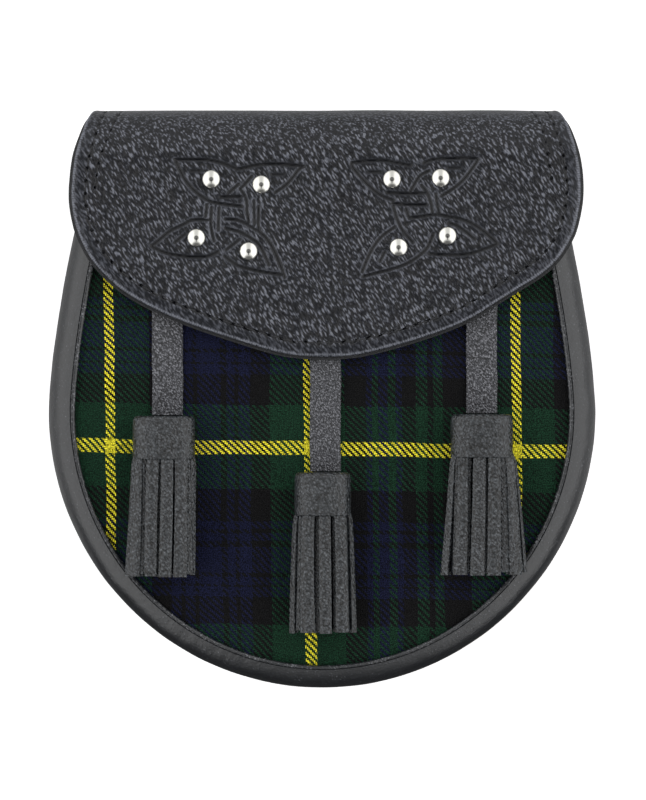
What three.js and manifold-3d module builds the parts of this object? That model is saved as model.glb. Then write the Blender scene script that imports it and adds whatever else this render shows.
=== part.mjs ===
// A day sporran: a leather pouch with a tartan front panel, a rolled flap with eight studs, and three tassels.
// It lies on its back. +Z points out of its front, +Y to the roll at its top, +X to the right seen from the front.
// The origin is at the middle of its underside. All lengths are in millimetres.

import * as THREE from 'three';
import { mergeVertices } from 'three/addons/utils/BufferGeometryUtils.js';
import Module from 'manifold-3d';

const wasm = await Module();
wasm.setup();

// Clearance that two touching pieces keep
const GAP = 0.3;

// Pouch outline, seen from the front
const POUCH_WIDTH = 180;
const POUCH_LENGTH = 190;
const WIDEST_BELOW_MIDDLE = 4;
const SIDE_DRAW_IN = 8;
const DRAW_IN_LENGTH = 57;
const DRAW_IN_POWER = 1.5;

// Pouch walls, from the back to the front
const POUCH_DEPTH = 27.5;
const BACK_WALL = 2.2;
const GUSSET_WALL = 2;
const PANEL_WALL = 2.2;
const PANEL_CROWN = 1.5;
const PANEL_DROP = 2.5;

// Rim: the part of the gusset that shows round the panel
const RIM_WIDTH_SIDE = 8.3;
const RIM_WIDTH_BOTTOM = 7.1;
const RIM_OVAL_POWER = 2.3;
const PIPING_DIAMETER = 2.2;

// Free edges under the flap, measured down from the top of the roll
const MOUTH_BELOW_TOP = 25;
const GUSSET_BELOW_TOP = 23;
const SEAM_BELOW_TOP = 21;

// Slots in the back for the waist strap
const SLOT_LENGTH = 34;
const SLOT_WIDTH = 6;
const SLOT_SPACING = 96;
const SLOT_BELOW_TOP = 50;

// Flap
const FLAP_LEATHER = 2;
const LINING_LEATHER = 1.2;
const LINING_SHOWS = 1;
const FLAP_REACH_LEFT = 83;
const FLAP_REACH_RIGHT = 85.6;
const FLAP_COVERS = 82.2;
const FLAP_DROOP = 2;
const DROOP_STARTS = 68;
const TAIL_STOPS_SHORT = 3;

// Studs and the press stud under the flap
const STUD_DIAMETER = 6;
const STUD_HEIGHT = 2.4;
const STUD_RIM = 0.9;
const SNAP_DIAMETER = 11;
const SNAP_BELOW_TOP = 55;

// Straps and tassels
const STRAP_WIDTH = 10.2;
const STRAP_LEATHER = 1.4;
const STRAP_UNDER_FLAP = 15;
const HEAD_WIDTH = 20.4;
const HEAD_THICKNESS = 12.4;
const HEAD_LENGTH = 14.2;
const HEAD_OVAL_POWER = 2.7;
const SKIRT_LENGTH = 38.6;
const STRIP_WIDTH = 4.1;
const STRIP_LEATHER = 1.5;
const STRIP_COUNT = 12;
const STRIP_INSET = 1.1;
const STRIP_STARTS_INSIDE = 3;
const SKIRT_FLARE_SHARE = 1.13;
const CORE_COUNT = 3;
const CORE_THICKNESS = 6;
const CORE_SHORTER = 1;

// Fineness of the faceted forms
const PATH_STEPS = 44;
const SIDE_SHARE = 0.22;
const SECTION_STEPS = 8;
const PIPING_SIDES = 6;
const PANEL_RINGS = 4;
const FLAP_COLUMNS = 16;
const LINING_COLUMNS = 12;
const FLAP_ROWS = 25;
const TAIL_ROWS = 9;
const STUD_SIDES = 12;
const STUD_RINGS = 4;
const HEAD_SIDES = 24;
const STRIP_STEPS = 3;
const STRAP_STEPS = 6;

// Flap edge, from the top of the roll to the tip: distance along the leather as a share of the front's
// length, and the reach to each side as a share of FLAP_REACH_LEFT and FLAP_REACH_RIGHT
const FLAP_EDGE = [
  { along: 0.0, left: 0.895, right: 0.88 },
  { along: 0.051, left: 0.908, right: 0.9 },
  { along: 0.166, left: 0.952, right: 0.955 },
  { along: 0.26, left: 0.984, right: 0.987 },
  { along: 0.345, left: 0.997, right: 1.0 },
  { along: 0.431, left: 1.0, right: 0.999 },
  { along: 0.518, left: 0.984, right: 0.981 },
  { along: 0.574, left: 0.962, right: 0.958 },
  { along: 0.643, left: 0.921, right: 0.911 },
  { along: 0.7, left: 0.868, right: 0.846 },
  { along: 0.757, left: 0.797, right: 0.75 },
  { along: 0.807, left: 0.708, right: 0.664 },
  { along: 0.855, left: 0.598, right: 0.583 },
  { along: 0.9, left: 0.468, right: 0.478 },
  { along: 0.94, left: 0.335, right: 0.352 },
  { along: 0.965, left: 0.248, right: 0.26 },
  { along: 0.984, left: 0.172, right: 0.178 },
  { along: 0.996, left: 0.095, right: 0.11 },
  { along: 1.0, left: 0.03, right: 0.045 },
];

// Stud places: across as a share of half the pouch's width, down as a share of FLAP_COVERS
const STUDS = [
  { name: 'stud_1', across: -0.403, down: 0.281 },
  { name: 'stud_2', across: -0.221, down: 0.302 },
  { name: 'stud_3', across: -0.457, down: 0.514 },
  { name: 'stud_4', across: -0.267, down: 0.567 },
  { name: 'stud_5', across: 0.254, down: 0.281 },
  { name: 'stud_6', across: 0.431, down: 0.276 },
  { name: 'stud_7', across: 0.278, down: 0.552 },
  { name: 'stud_8', across: 0.456, down: 0.506 },
];

// Tassels: places across as shares of half the pouch's width, the head's top as a share of its length
// measured from the roll, and the skirt's spread as a share of the head's width
const TASSELS = [
  { name: 'left', strap: -0.563, head: -0.575, skirt: -0.588, down: 0.529, width: 1.0, spread: 1.0 },
  { name: 'middle', strap: 0.012, head: 0.002, skirt: 0.009, down: 0.626, width: 0.9, spread: 1.02 },
  { name: 'right', strap: 0.581, head: 0.58, skirt: 0.593, down: 0.526, width: 1.0, spread: 1.08 },
];

// Worked out from the sizes above
const HALF_WIDTH = POUCH_WIDTH / 2;
const TOP_Y = POUCH_LENGTH / 2;
const WIDEST_Y = -WIDEST_BELOW_MIDDLE;
const BOTTOM_REACH = TOP_Y - WIDEST_BELOW_MIDDLE;
const MOUTH_Y = TOP_Y - MOUTH_BELOW_TOP;
const GUSSET_TOP_Y = TOP_Y - GUSSET_BELOW_TOP;
const SEAM_Y = TOP_Y - SEAM_BELOW_TOP;
const PANEL_EDGE_Z = POUCH_DEPTH - PANEL_DROP;
const PANEL_INSET = RIM_WIDTH_SIDE + GAP;
const GUSSET_BULGE = RIM_WIDTH_SIDE - PIPING_DIAMETER - GAP;
const BACK_INSET = GUSSET_BULGE + GAP;
const LINING_UNDER_Z = PANEL_EDGE_Z + PANEL_CROWN + GAP + STRAP_LEATHER + GAP;
const LINING_DEPTH = FLAP_LEATHER + GAP;
const FLAP_TOP_Z = LINING_UNDER_Z + LINING_LEATHER + LINING_DEPTH;
const ROLL_RADIUS = FLAP_TOP_Z / 2;
const ROLL_Y = TOP_Y - ROLL_RADIUS;
const QUARTER_ROLL = (ROLL_RADIUS * Math.PI) / 2;
const FRONT_LENGTH = QUARTER_ROLL + ROLL_Y - (TOP_Y - FLAP_COVERS);

const LEATHER = { color: 0x2e2f33, roughness: 0.55, metalness: 0 };
const SMOOTH_LEATHER = { color: 0x43454a, roughness: 0.45, metalness: 0 };
const TARTAN = { color: 0x16261f, roughness: 0.9, metalness: 0 };
const CHROME = { color: 0xd8dade, roughness: 0.12, metalness: 1 };

/** A named mesh with its own material. */
function piece(name, geometry, finish) {
  geometry.computeVertexNormals();
  const mesh = new THREE.Mesh(geometry, new THREE.MeshStandardMaterial(finish));
  mesh.name = name;
  return mesh;
}

/** An indexed geometry from points and triangles. */
function meshOf(points, triangles) {
  const geometry = new THREE.BufferGeometry();
  const flat = points.flatMap((p) => [p.x, p.y, p.z]);
  geometry.setAttribute('position', new THREE.Float32BufferAttribute(flat, 3));
  geometry.setIndex(triangles);
  return geometry;
}

/** Two triangles for the corners a, b, c, d taken in turn. */
function quad(a, b, c, d) {
  return [a, b, c, a, c, d];
}

/** A sheet between two grids of points, closed round its edge. top(i, j) and under(i, j) give the points. */
function sheet(columns, rows, top, under) {
  const points = [];
  for (const face of [top, under]) {
    for (let j = 0; j <= rows; j += 1) {
      for (let i = 0; i <= columns; i += 1) points.push(face(i / columns, j / rows));
    }
  }
  const layer = (columns + 1) * (rows + 1);
  const at = (i, j) => j * (columns + 1) + i;
  const triangles = [];
  for (let j = 0; j < rows; j += 1) {
    for (let i = 0; i < columns; i += 1) {
      const corners = [at(i, j), at(i + 1, j), at(i + 1, j + 1), at(i, j + 1)];
      triangles.push(...quad(...corners));
      triangles.push(...quad(...corners.map((k) => k + layer).reverse()));
    }
  }
  const edge = [];
  for (let i = 0; i < columns; i += 1) edge.push(at(i, 0));
  for (let j = 0; j < rows; j += 1) edge.push(at(columns, j));
  for (let i = columns; i > 0; i -= 1) edge.push(at(i, rows));
  for (let j = rows; j > 0; j -= 1) edge.push(at(0, j));
  edge.forEach((a, k) => {
    const b = edge[(k + 1) % edge.length];
    triangles.push(...quad(b, a, a + layer, b + layer));
  });
  return meshOf(points, triangles);
}

/** A body swept through loops of points, one loop for each step, with a fan over each end. */
function sweep(loops) {
  const sides = loops[0].length;
  const triangles = [];
  for (let j = 0; j < loops.length - 1; j += 1) {
    for (let i = 0; i < sides; i += 1) {
      const next = (i + 1) % sides;
      triangles.push(...quad(j * sides + i, j * sides + next, (j + 1) * sides + next, (j + 1) * sides + i));
    }
  }
  return { points: loops.flat(), triangles, sides };
}

/** Closes a convex swept body with a fan of triangles at each end. */
function closedSweep(loops) {
  const { points, triangles, sides } = sweep(loops);
  const last = (loops.length - 1) * sides;
  for (let i = 1; i < sides - 1; i += 1) {
    triangles.push(0, i + 1, i);
    triangles.push(last, last + i, last + i + 1);
  }
  return meshOf(points, triangles);
}

/** Half the pouch's width at height y, drawn in by the inset. */
function halfWidth(y, inset) {
  const above = Math.max(0, y - WIDEST_Y) / DRAW_IN_LENGTH;
  return HALF_WIDTH - inset - SIDE_DRAW_IN * above ** DRAW_IN_POWER;
}

/** A point on the pouch's outline drawn in by an inset: t runs from the top left round the bottom. */
function outline(t, inset, topY) {
  const side = Math.min(t, 1 - t) / SIDE_SHARE;
  const hand = t < 0.5 ? -1 : 1;
  if (side < 1) {
    const y = topY + (WIDEST_Y - topY) * side;
    return new THREE.Vector2(hand * halfWidth(y, inset), y);
  }
  const angle = (Math.PI * (t - SIDE_SHARE)) / (1 - 2 * SIDE_SHARE);
  const rise = BOTTOM_REACH - (inset * RIM_WIDTH_BOTTOM) / RIM_WIDTH_SIDE;
  return new THREE.Vector2(-Math.cos(angle) * (HALF_WIDTH - inset), WIDEST_Y - Math.sin(angle) * rise);
}

/** Height of the front panel's face: highest in the middle, PANEL_EDGE_Z at the rim. */
function panelZ(x, y) {
  const across = x / (HALF_WIDTH - PANEL_INSET);
  const along = (y - WIDEST_Y) / (BOTTOM_REACH - RIM_WIDTH_BOTTOM);
  return PANEL_EDGE_Z + PANEL_CROWN * Math.max(0, 1 - across ** 2 - along ** 2);
}

/** The closed outline of a panel: the pouch's outline with a straight top edge. */
function panelLoop(inset, topY) {
  const loop = [];
  for (let k = 0; k <= PATH_STEPS; k += 1) loop.push(outline(k / PATH_STEPS, inset, topY));
  const topSteps = Math.round(PATH_STEPS / 4);
  const half = halfWidth(topY, inset);
  for (let k = 1; k < topSteps; k += 1) loop.push(new THREE.Vector2(half - (2 * half * k) / topSteps, topY));
  return loop;
}

/** The crowned front panel, in rings from its middle to its edge. */
function frontPanel() {
  const loop = panelLoop(PANEL_INSET, MOUTH_Y);
  const middle = new THREE.Vector2(0, WIDEST_Y);
  const faces = [0, -PANEL_WALL].map((drop) => {
    const points = [new THREE.Vector3(middle.x, middle.y, panelZ(middle.x, middle.y) + drop)];
    for (let ring = 1; ring <= PANEL_RINGS; ring += 1) {
      for (const p of loop) {
        const q = middle.clone().lerp(p, ring / PANEL_RINGS);
        points.push(new THREE.Vector3(q.x, q.y, panelZ(q.x, q.y) + drop));
      }
    }
    return points;
  });
  const count = loop.length;
  const layer = faces[0].length;
  const at = (ring, k) => (ring === 0 ? 0 : 1 + (ring - 1) * count + (k % count));
  const triangles = [];
  for (let k = 0; k < count; k += 1) {
    triangles.push(0, at(1, k), at(1, k + 1));
    triangles.push(layer, layer + at(1, k + 1), layer + at(1, k));
    for (let ring = 1; ring < PANEL_RINGS; ring += 1) {
      const corners = [at(ring, k), at(ring + 1, k), at(ring + 1, k + 1), at(ring, k + 1)];
      triangles.push(...quad(...corners));
      triangles.push(...quad(...corners.map((c) => c + layer).reverse()));
    }
    const a = at(PANEL_RINGS, k);
    const b = at(PANEL_RINGS, k + 1);
    triangles.push(...quad(b, a, a + layer, b + layer));
  }
  return meshOf(faces.flat(), triangles);
}

/** The flat back, with a slot for the waist strap on each side. */
function backPanel() {
  const shape = new THREE.Shape(panelLoop(BACK_INSET, SEAM_Y - GAP));
  const end = SLOT_WIDTH / 2;
  const straight = SLOT_LENGTH / 2 - end;
  const slotY = TOP_Y - SLOT_BELOW_TOP;
  for (const x of [-SLOT_SPACING / 2, SLOT_SPACING / 2]) {
    const slot = new THREE.Path();
    slot.absarc(x, slotY + straight, end, 0, Math.PI, false);
    slot.absarc(x, slotY - straight, end, Math.PI, 2 * Math.PI, false);
    shape.holes.push(slot);
  }
  return new THREE.ExtrudeGeometry(shape, { depth: BACK_WALL, bevelEnabled: false, curveSegments: 5 });
}

/** The gusset's section: outer and inner walls of a C, as inset from the outline and height. */
function gussetSection() {
  const middleZ = POUCH_DEPTH / 2;
  const outer = [];
  for (let k = 0; k <= SECTION_STEPS; k += 1) {
    const angle = Math.PI * (0.5 - k / SECTION_STEPS);
    const out = Math.cos(angle) ** (2 / RIM_OVAL_POWER) * GUSSET_BULGE;
    const up = Math.sign(Math.sin(angle)) * Math.abs(Math.sin(angle)) ** (2 / RIM_OVAL_POWER) * middleZ;
    outer.push({ inset: GUSSET_BULGE - out, z: middleZ + up });
  }
  const inner = outer.map((p) => ({
    inset: GUSSET_BULGE - (GUSSET_BULGE - p.inset) * (1 - GUSSET_WALL / GUSSET_BULGE),
    z: middleZ + (p.z - middleZ) * (1 - GUSSET_WALL / middleZ),
  }));
  return [...outer, ...inner.reverse()];
}

/** The gusset, swept round the outline and closed with flat ends. */
function gusset() {
  const section = gussetSection();
  const loops = [];
  for (let k = 0; k <= PATH_STEPS; k += 1) {
    const loop = section.map((p) => {
      const q = outline(k / PATH_STEPS, p.inset, GUSSET_TOP_Y);
      return new THREE.Vector3(q.x, q.y, p.z);
    });
    loops.push(loop);
  }
  const { points, triangles, sides } = sweep(loops);
  const last = (loops.length - 1) * sides;
  for (let i = 0; i < sides / 2 - 1; i += 1) {
    const far = sides - 1 - i;
    triangles.push(...quad(i, far, far - 1, i + 1));
    triangles.push(...quad(last + i, last + i + 1, last + far - 1, last + far));
  }
  return meshOf(points, triangles);
}

/** The raised bead between the front panel and the gusset. */
function rimPiping() {
  const radius = PIPING_DIAMETER / 2;
  const middle = RIM_WIDTH_SIDE - radius;
  const loops = [];
  for (let k = 0; k <= PATH_STEPS; k += 1) {
    const loop = [];
    for (let side = 0; side < PIPING_SIDES; side += 1) {
      const angle = (2 * Math.PI * side) / PIPING_SIDES;
      const q = outline(k / PATH_STEPS, middle - radius * Math.cos(angle), MOUTH_Y);
      loop.push(new THREE.Vector3(q.x, q.y, PANEL_EDGE_Z + radius * Math.sin(angle)));
    }
    loops.push(loop.reverse());
  }
  return closedSweep(loops);
}

/** A point on the flap: x across, w along the leather from the roll's top, depth below its outer face. */
function flapPoint(x, w, depth) {
  const radius = ROLL_RADIUS - depth;
  const straight = Math.max(0, Math.abs(w) - QUARTER_ROLL);
  const angle = (Math.min(1, Math.abs(w) / QUARTER_ROLL) * Math.PI) / 2;
  const y = ROLL_Y - straight + radius * Math.cos(angle);
  const up = Math.sign(w) * Math.sin(angle) * radius;
  const past = Math.max(0, Math.abs(x) - DROOP_STARTS) / (FLAP_REACH_RIGHT - DROOP_STARTS);
  const droop = w > 0 ? FLAP_DROOP * Math.sin(angle) ** 2 * past ** 2 : 0;
  return new THREE.Vector3(x, y, ROLL_RADIUS + up - droop);
}

/** The flap's edge on one side as a smooth curve of (reach, distance along the leather), drawn in by inset. */
function flapEdge(side, reach, inset) {
  const points = FLAP_EDGE.map((row) => new THREE.Vector2(row[side] * reach, row.along * FRONT_LENGTH));
  const curve = new THREE.SplineCurve(points);
  return (t) => {
    const p = curve.getPoint(t);
    const tangent = curve.getTangent(t);
    return new THREE.Vector2(Math.max(p.x - inset * tangent.y, GAP), p.y + inset * Math.min(0, tangent.x));
  };
}

/** A layer of the flap from its seam on the back over the roll to the tip, between two depths. */
function flapLayer(columns, inset, depthTop, depthUnder, tail) {
  const left = flapEdge('left', FLAP_REACH_LEFT, inset);
  const right = flapEdge('right', FLAP_REACH_RIGHT, inset);
  const rows = TAIL_ROWS + FLAP_ROWS;
  const place = (depth) => (i, j) => {
    const row = j * rows;
    const onFront = Math.max(0, row - TAIL_ROWS) / FLAP_ROWS;
    const back = Math.max(0, TAIL_ROWS - row) / TAIL_ROWS;
    const a = left(onFront);
    const b = right(onFront);
    const x = THREE.MathUtils.lerp(-a.x, b.x, i);
    const w = THREE.MathUtils.lerp(a.y, b.y, i) - back * tail;
    return flapPoint(x, w, depth);
  };
  return sheet(columns, rows, (i, j) => place(depthTop)(i, 1 - j), (i, j) => place(depthUnder)(i, 1 - j));
}

/** A stud on the axis: a ball's cap on a short straight rim. */
function studShape() {
  const radius = STUD_DIAMETER / 2;
  const rise = STUD_HEIGHT - STUD_RIM;
  const ball = (radius ** 2 + rise ** 2) / (2 * rise);
  const widest = Math.asin(radius / ball);
  const profile = [new THREE.Vector2(0, 0), new THREE.Vector2(radius, 0)];
  for (let k = 0; k < STUD_RINGS; k += 1) {
    const angle = widest * (1 - k / STUD_RINGS);
    profile.push(new THREE.Vector2(ball * Math.sin(angle), STUD_HEIGHT - ball * (1 - Math.cos(angle))));
  }
  profile.push(new THREE.Vector2(0, STUD_HEIGHT));
  return new THREE.LatheGeometry(profile, STUD_SIDES).rotateX(Math.PI / 2);
}

/** A strap lying on the front panel, from under the flap to a tassel's head. */
function strap(row, headTopY) {
  const middle = row.strap * HALF_WIDTH;
  const topY = flapEdgeY(middle) + STRAP_UNDER_FLAP;
  const place = (lift) => (i, j) => {
    const x = middle + STRAP_WIDTH * (i - 0.5);
    const y = THREE.MathUtils.lerp(headTopY + GAP, topY, j);
    return new THREE.Vector3(x, y, panelZ(x, y) + lift);
  };
  return sheet(2, STRAP_STEPS, place(GAP + STRAP_LEATHER), place(GAP));
}

/** Height on the front of the flap's lower edge at a place across it. */
function flapEdgeY(x) {
  const side = x < 0 ? 'left' : 'right';
  const reach = x < 0 ? FLAP_REACH_LEFT : FLAP_REACH_RIGHT;
  const share = Math.abs(x) / reach;
  const below = FLAP_EDGE.findLast((row) => row[side] >= share);
  const along = below.along * FRONT_LENGTH;
  return ROLL_Y + QUARTER_ROLL - along;
}

/** A point on the tassel's oval section at an angle, on a round-cornered oval of the half sizes given. */
function oval(angle, halfX, halfZ) {
  const c = Math.cos(angle);
  const s = Math.sin(angle);
  const power = 2 / HEAD_OVAL_POWER;
  return new THREE.Vector2(
    Math.sign(c) * Math.abs(c) ** power * halfX,
    Math.sign(s) * Math.abs(s) ** power * halfZ,
  );
}

/** A solid for joining, from a closed geometry. */
function solid(geometry) {
  geometry.deleteAttribute('normal');
  geometry.deleteAttribute('uv');
  const merged = mergeVertices(geometry, 1e-4);
  return new wasm.Manifold(new wasm.Mesh({
    numProp: 3,
    vertProperties: merged.attributes.position.array,
    triVerts: new Uint32Array(merged.index.array),
  }));
}

/** A flat strip of leather. at(share) gives its middle along its length and how far its face is turned. */
function ribbon(width, thickness, at) {
  const corners = [[1, 1], [-1, 1], [-1, -1], [1, -1]];
  const loops = [];
  for (let step = 0; step <= STRIP_STEPS; step += 1) {
    const { x, y, z, turn } = at(step / STRIP_STEPS);
    const out = new THREE.Vector2(Math.cos(turn), Math.sin(turn)).multiplyScalar(thickness / 2);
    const along = new THREE.Vector2(-Math.sin(turn), Math.cos(turn)).multiplyScalar(width / 2);
    const loop = corners.map(([a, b]) => {
      const dx = a * out.x + b * along.x;
      const dz = a * out.y + b * along.y;
      return new THREE.Vector3(x + dx, y, z + dz);
    });
    loops.push(loop);
  }
  return solid(closedSweep(loops));
}

/** A tassel: a wrapped head, flat strips fused round its lower end, and thicker strips inside them. */
function tassel(row, headTopY) {
  const headX = row.head * HALF_WIDTH;
  const skirtX = row.skirt * HALF_WIDTH;
  const halfX = (HEAD_WIDTH * row.width) / 2;
  const halfZ = HEAD_THICKNESS / 2;
  const headEndY = headTopY - HEAD_LENGTH;
  const baseZ = panelZ(headX, headTopY) + GAP + halfZ;
  const ends = [headTopY, headEndY].map((y) => {
    const loop = [];
    for (let k = 0; k < HEAD_SIDES; k += 1) {
      const p = oval((2 * Math.PI * k) / HEAD_SIDES, halfX, halfZ);
      loop.push(new THREE.Vector3(headX + p.x, y, baseZ + p.y));
    }
    return loop;
  });
  const startY = headEndY + STRIP_STARTS_INSIDE;
  const hang = (share, offset, length) => {
    const flare = THREE.MathUtils.lerp(1, SKIRT_FLARE_SHARE * row.spread, share);
    const x = THREE.MathUtils.lerp(headX, skirtX, share) + offset.x * flare;
    const y = THREE.MathUtils.lerp(startY, headEndY - length, share);
    const sag = panelZ(x, y) - panelZ(headX, headTopY);
    return { x, y, z: baseZ + sag + offset.y };
  };
  let body = solid(closedSweep(ends));
  for (let k = 0; k < STRIP_COUNT; k += 1) {
    const offset = oval((2 * Math.PI * (k + 0.5)) / STRIP_COUNT, halfX - STRIP_INSET, halfZ - STRIP_INSET);
    const turn = Math.atan2(offset.y / halfZ ** 2, offset.x / halfX ** 2);
    const at = (share) => ({ ...hang(share, offset, SKIRT_LENGTH), turn });
    body = body.add(ribbon(STRIP_WIDTH, STRIP_LEATHER, at));
  }
  const coreWidth = (2 * (halfX - STRIP_INSET - STRIP_LEATHER) - GAP) / CORE_COUNT;
  for (let k = 0; k < CORE_COUNT; k += 1) {
    const offset = new THREE.Vector2((k - (CORE_COUNT - 1) / 2) * coreWidth, 0);
    const at = (share) => ({ ...hang(share, offset, SKIRT_LENGTH - CORE_SHORTER), turn: Math.PI / 2 });
    body = body.add(ribbon(coreWidth - GAP, CORE_THICKNESS, at));
  }
  const { vertProperties, triVerts } = body.getMesh();
  const geometry = new THREE.BufferGeometry();
  geometry.setAttribute('position', new THREE.BufferAttribute(vertProperties, 3));
  geometry.setIndex(new THREE.BufferAttribute(triVerts, 1));
  return geometry;
}

const sporran = new THREE.Group();
sporran.add(piece('back_panel', backPanel(), SMOOTH_LEATHER));
sporran.add(piece('gusset', gusset(), SMOOTH_LEATHER));
sporran.add(piece('front_panel', frontPanel(), TARTAN));
sporran.add(piece('rim_piping', rimPiping(), SMOOTH_LEATHER));

const tailLength = QUARTER_ROLL + ROLL_Y - SEAM_Y;
const liningUnder = LINING_DEPTH + LINING_LEATHER;
const flap = flapLayer(FLAP_COLUMNS, LINING_SHOWS, 0, FLAP_LEATHER, tailLength);
const lining = flapLayer(LINING_COLUMNS, 0, LINING_DEPTH, liningUnder, tailLength - TAIL_STOPS_SHORT);
sporran.add(piece('flap', flap, LEATHER));
sporran.add(piece('flap_lining', lining, SMOOTH_LEATHER));

for (const row of STUDS) {
  const stud = piece(row.name, studShape(), CHROME);
  stud.position.set(row.across * HALF_WIDTH, TOP_Y - row.down * FLAP_COVERS, FLAP_TOP_Z + GAP);
  sporran.add(stud);
}

const snapY = TOP_Y - SNAP_BELOW_TOP;
const snapUnder = panelZ(0, snapY) + GAP;
const snapHeight = LINING_UNDER_Z - GAP - snapUnder;
const snapShape = new THREE.CylinderGeometry(SNAP_DIAMETER / 2, SNAP_DIAMETER / 2, snapHeight, STUD_SIDES);
const snap = piece('flap_snap', snapShape.rotateX(Math.PI / 2), CHROME);
snap.position.set(0, snapY, snapUnder + snapHeight / 2);
sporran.add(snap);

for (const row of TASSELS) {
  const headTopY = TOP_Y - row.down * POUCH_LENGTH;
  sporran.add(piece(`strap_${row.name}`, strap(row, headTopY), LEATHER));
  sporran.add(piece(`tassel_${row.name}`, tassel(row, headTopY), SMOOTH_LEATHER));
}

export default sporran;
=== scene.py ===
"""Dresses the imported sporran: black leather pouch and flap, tartan front, chrome studs and three tassels.

The pouch lies on its back. +Z points out of its front, +Y to the roll at its top and +X to the right seen
from the front. Every length is in metres, and every finished object stands at the origin, unturned.
"""

import logging
import math
from collections.abc import Callable, Sequence
from dataclasses import dataclass, field
from enum import Enum

import bmesh
import bpy
import numpy as np
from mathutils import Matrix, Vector


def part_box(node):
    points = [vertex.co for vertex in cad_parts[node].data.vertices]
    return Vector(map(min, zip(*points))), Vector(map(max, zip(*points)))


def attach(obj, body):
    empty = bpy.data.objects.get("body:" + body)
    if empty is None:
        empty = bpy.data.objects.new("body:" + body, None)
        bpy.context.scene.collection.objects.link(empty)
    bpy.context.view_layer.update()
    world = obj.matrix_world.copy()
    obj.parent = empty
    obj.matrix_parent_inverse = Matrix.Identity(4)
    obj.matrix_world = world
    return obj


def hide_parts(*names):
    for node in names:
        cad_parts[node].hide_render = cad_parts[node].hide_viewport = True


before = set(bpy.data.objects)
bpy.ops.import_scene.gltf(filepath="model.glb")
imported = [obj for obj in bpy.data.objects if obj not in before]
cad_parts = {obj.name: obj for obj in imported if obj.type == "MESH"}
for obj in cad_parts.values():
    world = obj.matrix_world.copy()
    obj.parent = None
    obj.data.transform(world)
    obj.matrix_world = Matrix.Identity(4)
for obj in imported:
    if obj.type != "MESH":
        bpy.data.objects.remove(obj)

LOG = logging.getLogger("sporran")
MM = 0.001
GAP = 0.3 * MM
ROOT = "root"
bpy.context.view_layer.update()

Points = np.ndarray


class Slot(Enum):
    """The record's material slots."""

    FLAP = "flap_leather"
    RIM = "rim_leather"
    BACK = "back_leather"
    LINING = "lining_leather"
    STRAP = "strap_leather"
    TASSEL = "tassel_leather"
    TARTAN = "tartan_cloth"
    CHROME = "stud_chrome"


# Number helpers


def smooth(low: float, high: float, value: Points) -> Points:
    """A soft step from 0 at low to 1 at high."""
    share = np.clip((value - low) / (high - low), 0, 1)
    return share * share * (3 - 2 * share)


def mix(a: Points, b: Points, share: Points) -> Points:
    """The value a share of the way from a to b."""
    return a + (b - a) * share


def through(rows: Sequence[Sequence[float]], steps: int) -> Points:
    """A smooth curve through given points.

    Args:
        rows: the points, in order.
        steps: how many stretches to cut each span into.

    Returns:
        The curve's points, as a Catmull-Rom spline gives them.
    """
    knots = np.asarray(rows, float)
    padded = np.vstack([knots[:1], knots, knots[-1:]])
    spans = len(knots) - 1
    at = np.linspace(0, spans, spans * steps + 1)
    start = np.minimum(at.astype(int), spans - 1)
    t = (at - start)[:, None]
    before, a, b, after = (padded[start + k] for k in range(4))
    leave, arrive = (b - before) / 2, (after - a) / 2
    return (2 * a - 2 * b + leave + arrive) * t**3 + (3 * b - 3 * a - 2 * leave - arrive) * t**2 + leave * t + a


def run_along(path: Points) -> Points:
    """Distance run from the start of a path to each of its points."""
    return np.concatenate([[0.0], np.cumsum(np.linalg.norm(np.diff(path, axis=0), axis=1))])


def nearest(points: Points, path: Points, batch: int = 4000) -> tuple[Points, Points]:
    """How far each flat point is from a path, and how far along the path its nearest place is.

    Args:
        points: flat points, one to a row.
        path: the path's points, one to a row.
        batch: how many points are measured at once.

    Returns:
        The distances, and the runs along the path.
    """
    start, step = path[:-1], np.diff(path, axis=0)
    length2 = np.maximum((step**2).sum(1), 1e-18)
    run = run_along(path)
    far, along = np.empty(len(points)), np.empty(len(points))
    for k in range(0, len(points), batch):
        part = points[k : k + batch, None] - start
        share = np.clip((part * step).sum(2) / length2, 0, 1)
        gap2 = ((part - share[..., None] * step) ** 2).sum(2)
        best = gap2.argmin(1)
        rows = np.arange(len(best))
        far[k : k + batch] = np.sqrt(gap2[rows, best])
        along[k : k + batch] = run[best] + share[rows, best] * np.sqrt(length2[best])
    return far, along


def ripple(u: Points, v: Points, length: float, seed: int, waves: int = 5) -> Points:
    """A wavy field over two lengths, made of a few sine waves with seeded directions.

    Args:
        u: first length at each place.
        v: second length at each place.
        length: the waves' typical length.
        seed: picks the waves.
        waves: how many waves are summed.

    Returns:
        The field, mostly between -1 and 1.
    """
    pick = np.random.default_rng(seed)
    total = np.zeros(np.broadcast(u, v).shape)
    for _ in range(waves):
        turn, phase, stretch = pick.uniform(0, 2 * math.pi), pick.uniform(0, 2 * math.pi), pick.uniform(0.7, 1.5)
        total = total + np.sin(2 * math.pi * (u * math.cos(turn) + v * math.sin(turn)) / (length * stretch) + phase)
    return total / math.sqrt(waves * 2)


# Meshes


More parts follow.
